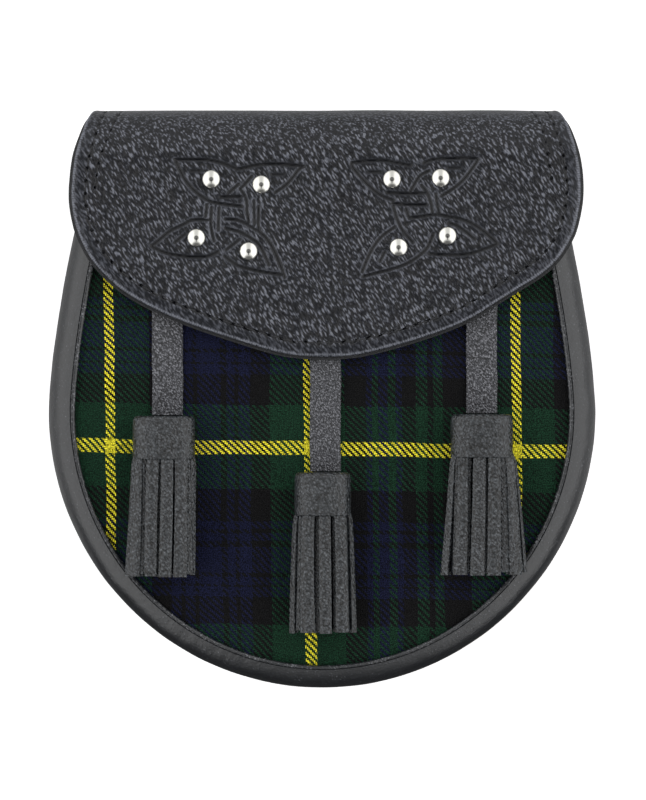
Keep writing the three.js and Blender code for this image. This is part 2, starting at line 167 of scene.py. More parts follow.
@dataclass
class Form:
    """Points and faces of one piece, gathered patch by patch."""

    points: list[Points] = field(default_factory=list)
    corners: list[Points] = field(default_factory=list)
    sizes: list[Points] = field(default_factory=list)
    total: int = 0

    def place(self, points: Points) -> Points:
        """Adds an array of points and returns their numbers in the same layout."""
        flat = np.asarray(points, float).reshape(-1, 3)
        numbers = np.arange(self.total, self.total + len(flat)).reshape(np.shape(points)[:-1])
        self.points.append(flat)
        self.total += len(flat)
        return numbers

    def faces(self, rows: Points) -> None:
        """Adds faces that all have the same number of corners, one face to a row."""
        self.corners.append(np.asarray(rows).reshape(-1))
        self.sizes.append(np.full(len(rows), np.shape(rows)[1]))

    def grid(self, numbers: Points, wrap: bool = False) -> None:
        """Covers a grid of numbered points with quads; wrap joins its last column to its first."""
        if wrap:
            numbers = np.concatenate([numbers, numbers[:, :1]], axis=1)
        ring = [numbers[:-1, :-1], numbers[:-1, 1:], numbers[1:, 1:], numbers[1:, :-1]]
        self.faces(np.stack(ring, axis=-1).reshape(-1, 4))

    def cap(self, loop: Points) -> None:
        """Closes a loop of numbered points with one face."""
        self.faces(np.asarray(loop)[None, :])

    def fan(self, loop: Points, middle: Points) -> None:
        """Closes a loop of numbered points with triangles to a middle point."""
        centre = self.place(np.asarray(middle)[None, :])[0]
        self.faces(np.stack([loop, np.roll(loop, -1), np.full(len(loop), centre)], axis=1))

    def tube(self, loops: Points, closed: bool = False) -> Points:
        """Skins rings of points, with a flat cap at each end unless the last ring meets the first."""
        numbers = self.place(loops)
        self.grid(np.concatenate([numbers, numbers[:1]]) if closed else numbers, wrap=True)
        if not closed:
            self.cap(numbers[0])
            self.cap(numbers[-1])
        return numbers

    def build(
        self,
        name: str,
        slot: Slot,
        crease: float = 50.0,
        stands_for: Sequence[str] = (),
        marks: dict[str, Points] | None = None,
    ) -> bpy.types.Object:
        """Makes the object, dresses it and hides the nodes that it stands for.

        Args:
            name: the piece's name.
            slot: the material slot that it takes its finish from.
            crease: edges that bend more than this many degrees stay sharp.
            stands_for: the nodes of the frame that it takes the place of.
            marks: values for the first points placed, by name, which the finish can read.

        Returns:
            The new object, riding on the frame's one body.
        """
        mesh = bpy.data.meshes.new(name)
        points = np.concatenate(self.points)
        corners, sizes = np.concatenate(self.corners), np.concatenate(self.sizes)
        mesh.vertices.add(len(points))
        mesh.vertices.foreach_set("co", points.ravel())
        mesh.loops.add(len(corners))
        mesh.loops.foreach_set("vertex_index", corners.astype(np.int32))
        mesh.polygons.add(len(sizes))
        starts = np.concatenate([[0], np.cumsum(sizes)[:-1]])
        mesh.polygons.foreach_set("loop_start", starts.astype(np.int32))
        mesh.update(calc_edges=True)
        mesh.validate()
        face_outward(mesh)
        for mark, values in (marks or {}).items():
            every = np.zeros(len(points), np.float32)
            every[: values.size] = values.ravel()
            mesh.attributes.new(mark, "FLOAT", "POINT").data.foreach_set("value", every)
        mesh.polygons.foreach_set("use_smooth", np.ones(len(mesh.polygons), bool))
        mesh.set_sharp_from_angle(angle=math.radians(crease))
        mesh.materials.append(FINISHES[slot])
        piece = bpy.data.objects.new(name, mesh)
        bpy.context.scene.collection.objects.link(piece)
        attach(piece, ROOT)
        if stands_for:
            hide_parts(*stands_for)
        LOG.info("%s: %d faces", name, len(mesh.polygons))
        return piece


def face_outward(mesh: bpy.types.Mesh) -> None:
    """Turns every face of a closed mesh outward."""
    work = bmesh.new()
    work.from_mesh(mesh)
    bmesh.ops.recalc_face_normals(work, faces=work.faces)
    work.to_mesh(mesh)
    work.free()


def dress(node: str, slot: Slot) -> None:
    """Gives a node of the frame its finish."""
    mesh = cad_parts[node].data
    mesh.materials.clear()
    mesh.materials.append(FINISHES[slot])
    LOG.info("%s: dressed", node)


# Finishes


def linear(code: str) -> tuple[float, float, float, float]:
    """A colour written as sRGB hex, as the linear values that the shaders take."""
    shares = (int(code[k : k + 2], 16) / 255 for k in (1, 3, 5))
    red, green, blue = (s / 12.92 if s <= 0.04045 else ((s + 0.055) / 1.055) ** 2.4 for s in shares)
    return red, green, blue, 1.0


Setting = float | str | bool | tuple | bpy.types.NodeSocket


class Nodes:
    """A node tree, filled one node at a time."""

    def __init__(self, tree: bpy.types.NodeTree) -> None:
        """Takes the tree to fill."""
        self.tree = tree

    def set(self, node: bpy.types.Node, inputs: dict[str | int, Setting]) -> None:
        """Sets or links a node's inputs, by name or number."""
        for key, value in inputs.items():
            if isinstance(value, bpy.types.NodeSocket):
                self.tree.links.new(value, node.inputs[key])
            else:
                node.inputs[key].default_value = value

    def add(self, kind: str, inputs: dict[str | int, Setting] | None = None, **settings: Setting) -> bpy.types.Node:
        """Adds a node with its settings and inputs."""
        node = self.tree.nodes.new(kind)
        for key, value in settings.items():
            setattr(node, key, value)
        self.set(node, inputs or {})
        return node

    def math(self, how: str, *values: Setting, clamp: bool = False) -> bpy.types.NodeSocket:
        """A sum, product or other reckoning on single values."""
        return self.add("ShaderNodeMath", dict(enumerate(values)), operation=how, use_clamp=clamp).outputs[0]

    def step(self, value: Setting, low: float, high: float, first: float = 0.0, last: float = 1.0) -> bpy.types.NodeSocket:
        """A soft step from first to last as a value goes from low to high."""
        inputs = {"Value": value, "From Min": low, "From Max": high, "To Min": first, "To Max": last}
        return self.add("ShaderNodeMapRange", inputs, interpolation_type="SMOOTHSTEP").outputs[0]

    def parts(self, vector: bpy.types.NodeSocket) -> tuple[bpy.types.NodeSocket, ...]:
        """The x, y and z of a vector."""
        return tuple(self.add("ShaderNodeSeparateXYZ", {0: vector}).outputs)


class Shader(Nodes):
    """One material's nodes, with its main shader and its place on the object."""

    def __init__(self, name: str, colour: str, rough: float) -> None:
        """Starts the material with one colour and roughness."""
        self.material = bpy.data.materials.new(name)
        self.material.use_nodes = True
        super().__init__(self.material.node_tree)
        self.main = self.tree.nodes["Principled BSDF"]
        self.set(self.main, {"Base Color": linear(colour), "Roughness": rough})
        self.place = self.add("ShaderNodeTexCoord").outputs["Object"]

    def along(self, stretch: float, slant: float) -> bpy.types.NodeSocket:
        """The place on the object, drawn out along a slant from +Y, so that a pattern runs that way."""
        inputs = {"Vector": self.place, "Rotation": (0.0, 0.0, slant), "Scale": (1.0, stretch, 1.0)}
        return self.add("ShaderNodeMapping", inputs, vector_type="TEXTURE").outputs[0]

    def mark(self, name: str) -> bpy.types.NodeSocket:
        """A value that the piece carries on its points."""
        return self.add("ShaderNodeAttribute", attribute_name=name).outputs["Fac"]

    def noise(self, place: bpy.types.NodeSocket, scale: float, detail: float = 3.0) -> bpy.types.NodeSocket:
        """Soft noise, as one value about 0.5."""
        return self.add("ShaderNodeTexNoise", {"Vector": place, "Scale": scale, "Detail": detail}).outputs[0]

    def cells(self, place: bpy.types.NodeSocket, scale: float) -> bpy.types.NodeSocket:
        """Distance from the middle of the nearest cell, for grain."""
        inputs = {"Vector": place, "Scale": scale, "Smoothness": 0.4}
        return self.add("ShaderNodeTexVoronoi", inputs, feature="SMOOTH_F1").outputs[0]

    def ramp(self, value: bpy.types.NodeSocket, stops: Sequence[tuple[float, str]], step: bool = False) -> bpy.types.NodeSocket:
        """Colours along a value, blended or in steps."""
        node = self.add("ShaderNodeValToRGB", {0: value})
        band = node.color_ramp
        band.interpolation = "CONSTANT" if step else "LINEAR"
        for k, (at, code) in enumerate(stops):
            stop = band.elements[k] if k < 2 else band.elements.new(at)
            stop.position, stop.color = at, linear(code)
        return node.outputs[0]

    def bump(self, height: bpy.types.NodeSocket, depth: float, under: bpy.types.NodeSocket | None = None) -> bpy.types.NodeSocket:
        """Relief of a real depth in metres, on top of any relief under it."""
        inputs: dict[str | int, Setting] = {"Height": height, "Distance": depth, "Strength": 1.0}
        if under is not None:
            inputs["Normal"] = under
        return self.add("ShaderNodeBump", inputs).outputs[0]


@dataclass(frozen=True)
class Leather:
    """Black leather: a dark body, lighter on top of its grain, partly from wear and partly as a painted highlight,
    whose slopes catch the light.

    The first three colours are the bottom, the middle and the top of the grain: the darker pits are a painted shade,
    and the lighter tops partly wear and partly a painted highlight; edge is the brightest colour, a painted highlight
    on the turned edge. grain is its size in metres and depth its relief; stretch draws the grain out along a slant;
    crease is the depth of its longer, softer wrinkles. A piece may carry marks: it is smoother where pressed, darker
    in a groove as painted shade, and has a painted highlight, ticked, where marked: along the flap's turned edge,
    beside its upright knot lines and along the bead's top.
    """

    name: str
    # grain colours: darker in the pits as painted shade, and lighter on the tops, partly wear and partly painted
    # highlight
    pit_shade: str
    colour: str
    wear_and_highlight: str
    rough: float
    grain: float
    depth: float
    stretch: float = 1.0
    crease: float = 0.0
    crease_size: float = 8 * MM
    slant: float = math.radians(32)
    gloss: float = 0.85
    # the brightest colour and how much of it shows along the turned edge: a painted highlight
    edge: str = "#6a6b70"
    edge_highlight: float = 0.42
    tick: float = 0.8 * MM

    def build(self) -> bpy.types.Material:
        """Makes the material."""
        s = Shader(self.name, self.colour, self.rough)
        place = s.along(self.stretch, self.slant)
        pebbles = s.math("MULTIPLY", s.cells(place, 1 / self.grain), -0.9)
        fine = s.math("MULTIPLY", s.noise(place, 1.1 / self.grain, 1.0), 1.7)
        grain = s.math("SUBTRACT", s.math("ADD", pebbles, fine), 0.52)
        grain = s.math("MULTIPLY", grain, s.step(s.noise(s.place, 1 / (8 * self.grain), 2.0), 0.3, 0.6, 0.75, 1.0))
        grain = s.math("MULTIPLY", grain, s.step(s.mark("pressed"), 0.1, 0.9, 1.0, 0.22))
        # painted shade: stitch holes and knot lines are darkened
        shade = s.math("SUBTRACT", grain, s.math("MULTIPLY", s.mark("groove_shade"), 0.5))
        # painted highlight along the turned edge and the other marked lines, broken by ticks
        edge = s.mark("painted_highlight")
        wave = s.math("SINE", s.math("MULTIPLY", s.mark("edge_run"), 2 * math.pi / self.tick))
        grain = s.math("ADD", grain, s.math("MULTIPLY", wave, s.math("MULTIPLY", edge, 0.12)))
        wear_and_highlight = s.math("MULTIPLY", edge, s.math("ADD", self.edge_highlight, s.math("MULTIPLY", wave, 0.1)))
        shade = s.math("ADD", s.math("ADD", shade, wear_and_highlight), 0.4)
        # painted shade in the grain's pits, lighter tops that are partly wear and partly painted highlight, and a
        # painted highlight at the turned edge
        stops = [(0.0, self.pit_shade), (0.33, self.colour), (0.74, self.wear_and_highlight), (1.0, self.edge)]
        s.set(s.main, {"Base Color": s.ramp(shade, stops), "Specular IOR Level": self.gloss})
        relief = s.bump(grain, self.depth)
        if self.crease:
            long = s.noise(s.along(2.2, -self.slant), 1 / self.crease_size, 3.0)
            relief = s.bump(long, self.crease, relief)
        s.set(s.main, {"Normal": relief})
        return s.material


@dataclass(frozen=True)
class Chrome:
    """Polished plating: a bright mirror that shows the room."""

    name: str
    colour: str
    rough: float

    def build(self) -> bpy.types.Material:
        """Makes the material."""
        s = Shader(self.name, self.colour, self.rough)
        s.set(s.main, {"Metallic": 1.0})
        return s.material


# Stripes of the cloth: the yarn's colour and how wide its stripe is, in millimetres
GREEN, BLUE, BLACK, YELLOW = "#123020", "#12162f", "#0e0e0f", "#e2d834"
GREEN_TO_GREEN = (
    (BLACK, 6.4), (BLUE, 3.6), (BLACK, 1.5), (BLUE, 2.6), (BLACK, 1.8), (BLUE, 7.5), (BLACK, 1.8),
    (BLUE, 2.6), (BLACK, 1.5), (BLUE, 3.6), (BLACK, 6.4),
)
ACROSS = (
    (GREEN, 10.4), (YELLOW, 3.6), (GREEN, 11.2), *GREEN_TO_GREEN, (GREEN, 11.2), (YELLOW, 3.6),
    (GREEN, 10.2), (BLACK, 6.5), (BLUE, 2.1), (GREEN, 2.0), (BLUE, 3.0), (GREEN, 3.0), (BLUE, 2.0),
    (BLACK, 4.6), (GREEN, 3.3), (BLACK, 2.0), (GREEN, 3.6), (BLACK, 9.0), (GREEN, 13.1),
    (YELLOW, 3.6), (GREEN, 11.1), (BLACK, 6.5),
)
BLUE_DOWN = (
    (BLUE, 2.8), (BLACK, 1.1), (BLUE, 2.8), (BLACK, 1.7), (BLUE, 8.6), (BLACK, 1.5), (BLUE, 2.4),
    (BLACK, 1.2), (BLUE, 2.8),
)
DOWN = (
    (GREEN, 11.5), (YELLOW, 4.7), (GREEN, 11.3), (BLACK, 9.3), *BLUE_DOWN[::-1], (BLACK, 10.3),
    (GREEN, 11.6), (YELLOW, 4.7), (GREEN, 11.2), (BLACK, 10.3), *BLUE_DOWN, (BLACK, 9.3),
    (GREEN, 24.0),
)


@dataclass(frozen=True)
class Tartan:
    """Twill cloth: coloured yarns cross two over and two under, so slanting ribs carry the stripes.

    first_across and first_down are where the two charts of stripes start; the yarn is one thread's pitch;
    the leans are how far the stretched cloth runs askew each way.
    """

    name: str
    rough: float
    yarn: float
    first_across: float
    first_down: float
    lean_across: float = 0.01
    lean_down: float = 0.014

    def stripes(self, s: Shader, run: bpy.types.NodeSocket, chart: Sequence[tuple[str, float]]) -> bpy.types.NodeSocket:
        """The yarn's colour along a run that starts at the chart's first stripe."""
        width = sum(size for _, size in chart)
        share = s.math("DIVIDE", run, width * MM)
        starts = np.cumsum([0.0] + [size for _, size in chart[:-1]]) / width
        return s.ramp(share, list(zip(starts.tolist(), [code for code, _ in chart])), step=True)

    def build(self) -> bpy.types.Material:
        """Makes the material."""
        s = Shader(self.name, GREEN, self.rough)
        wander = s.math("MULTIPLY", s.math("SUBTRACT", s.noise(s.place, 45.0, 2.0), 0.5), 1.5 * MM)
        x, y, _ = s.parts(s.place)
        across = s.math("ADD", s.math("SUBTRACT", x, self.first_across), s.math("MULTIPLY", y, self.lean_across))
        across = s.math("ADD", across, wander)
        down = s.math("SUBTRACT", s.math("SUBTRACT", self.first_down, y), s.math("MULTIPLY", x, self.lean_down))
        down = s.math("SUBTRACT", down, wander)
        column = s.math("DIVIDE", across, self.yarn)
        row = s.math("DIVIDE", down, self.yarn)
        phase = s.math("MODULO", s.math("SUBTRACT", s.math("FLOOR", row), s.math("FLOOR", column)), 4.0)
        wrapped = s.math("MODULO", s.math("ADD", phase, 4.0), 4.0)
        upright = s.math("LESS_THAN", wrapped, 1.5)
        lying, standing = self.stripes(s, down, DOWN), self.stripes(s, across, ACROSS)
        yarns = s.add("ShaderNodeMix", {0: upright, 6: lying, 7: standing}, data_type="RGBA")
        fibre = s.math("MULTIPLY", s.math("SUBTRACT", s.noise(s.place, 2300.0, 2.0), 0.5), 4.2)
        round_x = s.math("SINE", s.math("MULTIPLY", s.math("FRACT", column), math.pi))
        round_y = s.math("SINE", s.math("MULTIPLY", s.math("FRACT", row), math.pi))
        rib = s.add("ShaderNodeMix", {0: upright, 2: round_y, 3: round_x}, data_type="FLOAT").outputs[0]
        # painted shade: each yarn is lighter in its middle and darker at its ends, where it dives under, times the
        # fibres' own random tone
        light = s.math("MULTIPLY", s.math("ADD", 1.0, fibre), s.math("ADD", 0.55, s.math("MULTIPLY", rib, 0.6)))
        light = s.math("MAXIMUM", light, 0.15)
        shaded = s.add("ShaderNodeVectorMath", {0: yarns.outputs[2], "Scale": light}, operation="SCALE").outputs[0]
        relief = s.bump(rib, 0.12 * MM)
        s.set(s.main, {"Base Color": shaded, "Normal": relief, "Specular IOR Level": 0.15, "Sheen Weight": 0.03})
        return s.material


FINISHES: dict[Slot, bpy.types.Material] = {}


def make_finishes() -> None:
    """Makes every finish once, so that the pieces can share them."""
    lasting = {
        # pebbled hide whose bright grain tops speckle the flap: partly wear, partly a painted highlight
        Slot.FLAP: Leather(
            "pebbled_black_hide", "#07080d", "#14161c", "#72757f", 0.34, 0.72 * MM, 0.3 * MM, 3.0, 0.2 * MM, gloss=0.36,
            edge_highlight=0.3,
        ),
        # smooth calf with a soft sheen and long shallow wrinkles
        Slot.RIM: Leather(
            "smooth_black_calf", "#111316", "#15171b", "#24272b", 0.36, 0.6 * MM, 0.05 * MM, 1.4, 0.4 * MM, 5 * MM,
        ),
        # plain hide on the hidden back, duller than the front
        Slot.BACK: Leather(
            "plain_black_hide", "#101012", "#161618", "#222225", 0.5, 0.7 * MM, 0.08 * MM, gloss=0.5,
        ),
        # thin split leather, matt
        Slot.LINING: Leather(
            "thin_black_split", "#121316", "#1a1b1e", "#2c2d31", 0.5, 0.4 * MM, 0.06 * MM, gloss=0.5,
        ),
        # grained strap leather, paler than the flap, its lighter grain tops partly wear and partly a painted highlight
        Slot.STRAP: Leather(
            "grained_strap_leather", "#121317", "#3c3d42", "#83848a", 0.4, 0.5 * MM, 0.25 * MM, 1.5, gloss=0.5,
        ),
        # soft leather of the tassels, with a small pebble
        Slot.TASSEL: Leather(
            "soft_tassel_leather", "#030404", "#272a2d", "#4f5357", 0.36, 0.7 * MM, 0.25 * MM, 1.3, 0.15 * MM, 4 * MM,
            gloss=0.6,
        ),
        # wool twill that shows the stripes, with little gloss
        Slot.TARTAN: Tartan("wool_twill_tartan", 0.9, 0.55 * MM, -82.2 * MM, 70.0 * MM),
        # bright plating on the studs
        Slot.CHROME: Chrome("polished_chrome", "#dddcd6", 0.09),
    }
    for slot, finish in lasting.items():
        FINISHES[slot] = finish.build()


# The pouch's own form, which all the pieces share


@dataclass(frozen=True)
class Pouch:
    """Outline of the pouch and the height of its front, from which the other pieces take their places."""

    half_width: float = 90 * MM
    top_y: float = 95 * MM
    widest_y: float = -4 * MM
    side_draw_in: float = 8 * MM
    draw_in_length: float = 57 * MM
    draw_in_power: float = 1.5
    depth: float = 27.5 * MM
    panel_edge_z: float = 25 * MM
    panel_crown: float = 1.5 * MM
    rim_side: float = 8.3 * MM
    rim_bottom: float = 7.1 * MM
    mouth_y: float = 70 * MM
    gusset_top_y: float = 72 * MM
    side_share: float = 0.22

    def half_width_at(self, y: Points, inset: Points) -> Points:
        """Half the pouch's width at a height, drawn in by an inset."""
        above = np.maximum(0, y - self.widest_y) / self.draw_in_length
        return self.half_width - inset - self.side_draw_in * above**self.draw_in_power

    def outline(self, t: Points, inset: Points, top_y: float) -> tuple[Points, Points]:
        """A place on the outline drawn in by an inset.

        The sides run straight down in y and follow half_width_at; the bottom is half an oval about widest_y.

        Args:
            t: share of the way from the top left round the bottom to the top right.
            inset: distance in from the outline.
            top_y: height at which the outline starts and ends.

        Returns:
            The places' x and y.
        """
        side = np.minimum(t, 1 - t) / self.side_share
        hand = np.where(t < 0.5, -1.0, 1.0)
        side_y = mix(top_y, self.widest_y, side)
        side_x = hand * self.half_width_at(side_y, inset)
        angle = math.pi * (t - self.side_share) / (1 - 2 * self.side_share)
        rise = (self.top_y + self.widest_y) - inset * self.rim_bottom / self.rim_side
        low = side >= 1
        x = np.where(low, -np.cos(angle) * (self.half_width - inset), side_x)
        y = np.where(low, self.widest_y - np.sin(angle) * rise, side_y)
        return x, y

    def panel_z(self, x: Points, y: Points) -> Points:
        """Height of the front panel's face: highest in the middle, panel_edge_z at the rim."""
        across = x / (self.half_width - self.rim_side - GAP)
        along = (y - self.widest_y) / (self.top_y + self.widest_y - self.rim_bottom)
        return self.panel_edge_z + self.panel_crown * np.maximum(0, 1 - across**2 - along**2)

    def rim_path(self, inset: float, top_y: float, steps: int) -> tuple[Points, Points]:
        """Even shares along the outline at an inset, and the distance run to each."""
        t = np.linspace(0, 1, steps + 1)
        x, y = self.outline(t, np.full(t.shape, inset), top_y)
        run = run_along(np.stack([x, y], axis=1))
        even = np.interp(np.linspace(0, run[-1], steps + 1), run, t)
        return even, np.linspace(0, run[-1], steps + 1)


@dataclass(frozen=True)
class Body:
    """The pouch itself: bulging gusset, puckered bead, cloth front on its board, and flat back."""

    pouch: Pouch
    bulge: float = 7.3 * MM
    wall: float = 2.0 * MM
    oval_power: float = 2.8
    slope: float = 0.3
    bead: float = 1.0 * MM
    bead_height: float = 0.9 * MM
    bead_rise: float = 1.35 * MM
    bead_inset: float = 8.05 * MM
    pucker: float = 2.1 * MM
    pucker_share: float = 0.2
    wrinkle_depth: float = 0.16 * MM
    cloth: float = 0.5 * MM
    panel_wall: float = 2.2 * MM
    rim_steps: int = 700
    section_steps: int = 30

    def section(self, steps: int, thin: float) -> tuple[Points, Points]:
        """The gusset's C, as inset and height, from the front edge round to the back edge.

        It is half of a round-cornered oval: cos and sin to the power 2 / oval_power. Its front slopes down
        outward, more so the higher it lies.
        """
        angle = np.linspace(math.pi / 2, -math.pi / 2, steps + 1)
        power = 2 / self.oval_power
        out = np.cos(angle).clip(0) ** power * (self.bulge - thin)
        up = np.sign(np.sin(angle)) * np.abs(np.sin(angle)) ** power * (self.pouch.depth / 2 - thin)
        lean = self.slope * out * np.maximum(up / (self.pouch.depth / 2), 0) ** 2
        return self.bulge - out, self.pouch.depth / 2 + up - lean

    def gusset(self) -> None:
        """The side wall with its soft wrinkles, which fade towards its edges."""
        t, run = self.pouch.rim_path(0.0, self.pouch.gusset_top_y, self.rim_steps)
        inset, z = self.section(self.section_steps, 0.0)
        inner_inset, inner_z = self.section(self.section_steps // 3, self.wall)
        along = np.linspace(0, 1, len(z))
        fade = np.sin(along * math.pi) * (1 - 0.8 * smooth(0.25, 0.5, along))
        span = along * 40 * MM
        folds = ripple(run[:, None], span[None, :] * 0.4, 9 * MM, 3) * 0.6 + ripple(run[:, None], span[None, :], 22 * MM, 4)
        gather = np.sin(2 * math.pi * run / (self.pucker * 3.1))[:, None] * np.exp(-along / 0.12)[None, :] * 0.35
        lift = self.wrinkle_depth * (folds + gather) * fade[None, :]
        outer_x, outer_y = self.pouch.outline(t[:, None], inset[None, :] - lift, self.pouch.gusset_top_y)
        outer = np.stack([outer_x, outer_y, np.broadcast_to(z, outer_x.shape)], axis=-1)
        inner_x, inner_y = self.pouch.outline(t[:, None], inner_inset[None, ::-1] + 0 * t[:, None], self.pouch.gusset_top_y)
        inner = np.stack([inner_x, inner_y, np.broadcast_to(inner_z[::-1], inner_x.shape)], axis=-1)
        form = Form()
        form.tube(np.concatenate([outer, inner], axis=1))
        form.build("gusset_leather", Slot.RIM, 40, ["gusset"])

    def piping(self) -> None:
        """The turned edge round the cloth: a flat bead, oval in section, puckered by its stitching."""
        steps, sides = self.rim_steps * 2, 16
        t, run = self.pouch.rim_path(self.bead_inset, self.pouch.mouth_y, steps)
        angle = np.linspace(0, 2 * math.pi, sides, endpoint=False)
        pull = ripple(run, 0 * run, 9 * MM, 11)
        puckers = 0.5 + 0.5 * np.sin(2 * math.pi * run / self.pucker + 2.5 * pull)
        full = 1 - self.pucker_share * puckers[:, None] * (0.6 + 0.4 * pull[:, None])
        full = np.minimum(full, 1) + 0.05 * ripple(run[:, None], angle * 1.2 * MM, 1.3 * MM, 12)
        across = self.bead_inset + self.bead * (0.6 + 0.4 * full) * np.cos(angle)
        x, y = self.pouch.outline(t[:, None], across, self.pouch.mouth_y)
        z = self.pouch.panel_edge_z + self.bead_rise + self.bead_height * full * np.sin(angle)
        # painted highlight along the bead, brighter on its upper side
        wear_and_highlight = (0.35 + 0.5 * np.maximum(full, 0.5) * (np.sin(angle) > 0.2)) * (0.8 + 0.3 * pull[:, None])
        bead = Form()
        bead.tube(np.stack([x, y, z], axis=-1))
        bead.build("piping_bead", Slot.RIM, 60, ["rim_piping"], {"painted_highlight": np.broadcast_to(wear_and_highlight, x.shape)})

    def rings(self, inset: float, count: int, steps: int) -> tuple[Points, Points]:
        """Rings of flat places from near the panel's middle to its edge, with a straight top."""
        t = np.linspace(0, 1, steps + 1)
        x, y = self.pouch.outline(t, np.full(t.shape, inset), self.pouch.mouth_y)
        across = np.linspace(x[-1], x[0], steps // 3 + 1)[1:-1]
        loop = np.stack([np.concatenate([x, across]), np.concatenate([y, np.full(across.shape, self.pouch.mouth_y)])], axis=1)
        middle = np.array([0.0, self.pouch.widest_y])
        share = np.linspace(0, 1, count + 1)[1:, None, None]
        flat = middle + (loop - middle) * share
        return flat[..., 0], flat[..., 1]

    def layer(self, count: int, steps: int, over: float, under: float) -> Form:
        """A closed crowned layer between two depths below the panel's face."""
        x, y = self.rings(self.pouch.rim_side + GAP, count, steps)
        z = self.pouch.panel_z(x, y)
        form = Form()
        top = form.place(np.stack([x, y, z - over], axis=-1))
        low = form.place(np.stack([x, y, z - under], axis=-1)[[-1, 0]])
        form.grid(top, wrap=True)
        form.grid(np.stack([top[-1], low[0]]), wrap=True)
        form.grid(low, wrap=True)
        crown = float(self.pouch.panel_z(np.zeros(1), np.full(1, self.pouch.widest_y))[0])
        form.fan(top[0], np.array([0, self.pouch.widest_y, crown - over]))
        form.fan(low[1], np.array([0, self.pouch.widest_y, crown - under]))
        return form

    def front(self) -> None:
        """The cloth, stretched over the board that keeps the front stiff."""
        cloth = self.layer(40, 240, 0.0, self.cloth).build("tartan_front", Slot.TARTAN, 60, ["front_panel"])
        self.layer(8, 120, self.cloth, self.panel_wall).build("front_board", Slot.BACK, 60)

    def build(self) -> None:
        """Makes the pouch and dresses its plain back."""
        self.gusset()
        self.piping()
        self.front()
        dress("back_panel", Slot.BACK)
        dress("flap_snap", Slot.CHROME)


# The flap


@dataclass(frozen=True)
class EdgeRow:
    """Reach of the flap to each side at a place along it, as shares of the full reaches and of its length."""

    along: float
    left: float
    right: float


FLAP_EDGE = (
    EdgeRow(0.0, 0.92, 0.92), EdgeRow(0.051, 0.928, 0.93), EdgeRow(0.166, 0.957, 0.962),
    EdgeRow(0.26, 0.984, 0.987), EdgeRow(0.345, 0.997, 1.0), EdgeRow(0.431, 1.0, 0.999),
    EdgeRow(0.518, 0.984, 0.981), EdgeRow(0.574, 0.962, 0.958), EdgeRow(0.643, 0.921, 0.911),
    EdgeRow(0.7, 0.868, 0.846), EdgeRow(0.757, 0.797, 0.75), EdgeRow(0.807, 0.708, 0.664),
    EdgeRow(0.855, 0.598, 0.583), EdgeRow(0.9, 0.468, 0.478), EdgeRow(0.94, 0.335, 0.352),
    EdgeRow(0.965, 0.248, 0.26), EdgeRow(0.984, 0.172, 0.178), EdgeRow(0.996, 0.095, 0.11),
    EdgeRow(1.0, 0.03, 0.045),
)

# Short second rows of stitches near the top corners, in millimetres across and along the leather
SECOND_ROWS = (
    ((-74.8, 37), (-72.6, 25), (-69.0, 14.5), (-65.3, 1)),
    ((75.3, 34), (74.0, 25), (72.2, 15), (67.8, 1)),
)

# Knotwork lines of each motif, in millimetres across and up on the flap, each with its strength
LEFT_KNOT = (
    (1.0, ((-48.1, 78.4), (-41.3, 78.4), (-36.4, 78.1), (-31.3, 76.7), (-28.0, 75.3))),
    (1.0, ((-48.1, 78.4), (-46.4, 74.7), (-44.7, 71.6), (-42.0, 68.4), (-39.0, 66.1), (-36.4, 64.6), (-31.5, 63.7), (-26.2, 63.0))),
    (0.7, ((-43.0, 74.7), (-39.7, 74.8))),
    (1.0, ((-28.0, 75.1), (-24.6, 75.8), (-21.6, 76.5), (-17.1, 76.9), (-11.2, 76.7), (-5.9, 76.1))),
    (1.0, ((-5.9, 76.1), (-7.7, 75.0), (-9.5, 72.6), (-11.9, 70.0), (-15.3, 67.6))),
    (0.7, ((-16.4, 73.5), (-12.5, 73.5))),
    (1.0, ((-23.0, 72.8), (-25.0, 70.6), (-26.9, 68.6))),
    (1.0, ((-27.3, 70.3), (-30.6, 67.4))),
    (1.0, ((-33.4, 66.0), (-30.0, 66.3), (-26.4, 66.2))),
    (1.0, ((-26.8, 68.8), (-25.3, 66.6), (-24.6, 64.0), (-24.5, 61.0), (-23.9, 57.7))),
    (0.8, ((-22.3, 64.9), (-22.1, 56.9))),
    (1.0, ((-20.8, 63.0), (-20.7, 55.4), (-18.6, 53.2), (-16.3, 49.9), (-14.2, 45.6), (-12.2, 39.8))),
    (1.0, ((-37.7, 63.6), (-38.1, 59.7))),
    (1.0, ((-36.2, 62.6), (-36.4, 56.9), (-35.4, 51.8))),
    (0.8, ((-33.8, 62.6), (-34.0, 55.2))),
    (1.0, ((-31.7, 58.9), (-28.0, 58.6), (-24.6, 57.2), (-21.3, 55.2), (-19.6, 53.9), (-16.9, 50.5), (-15.3, 47.2), (-13.3, 42.5))),
    (1.0, ((-31.7, 55.9), (-27.6, 54.9), (-24.3, 53.3), (-21.0, 50.8), (-19.3, 48.2), (-17.3, 43.9))),
    (1.0, ((-31.8, 46.7), (-28.0, 44.0), (-23.6, 42.5), (-18.7, 41.5), (-13.3, 40.7))),
    (0.8, ((-31.3, 48.9), (-27.0, 52.2))),
    (1.0, ((-55.8, 50.1), (-53.1, 52.2), (-49.8, 54.9), (-45.4, 57.1), (-42.3, 58.6), (-36.8, 58.6))),
    (0.8, ((-48.2, 51.2), (-44.9, 53.9))),
    (1.0, ((-55.8, 50.0), (-51.5, 47.9), (-46.4, 46.9), (-42.0, 46.5), (-37.7, 46.7), (-34.0, 48.2))),
)
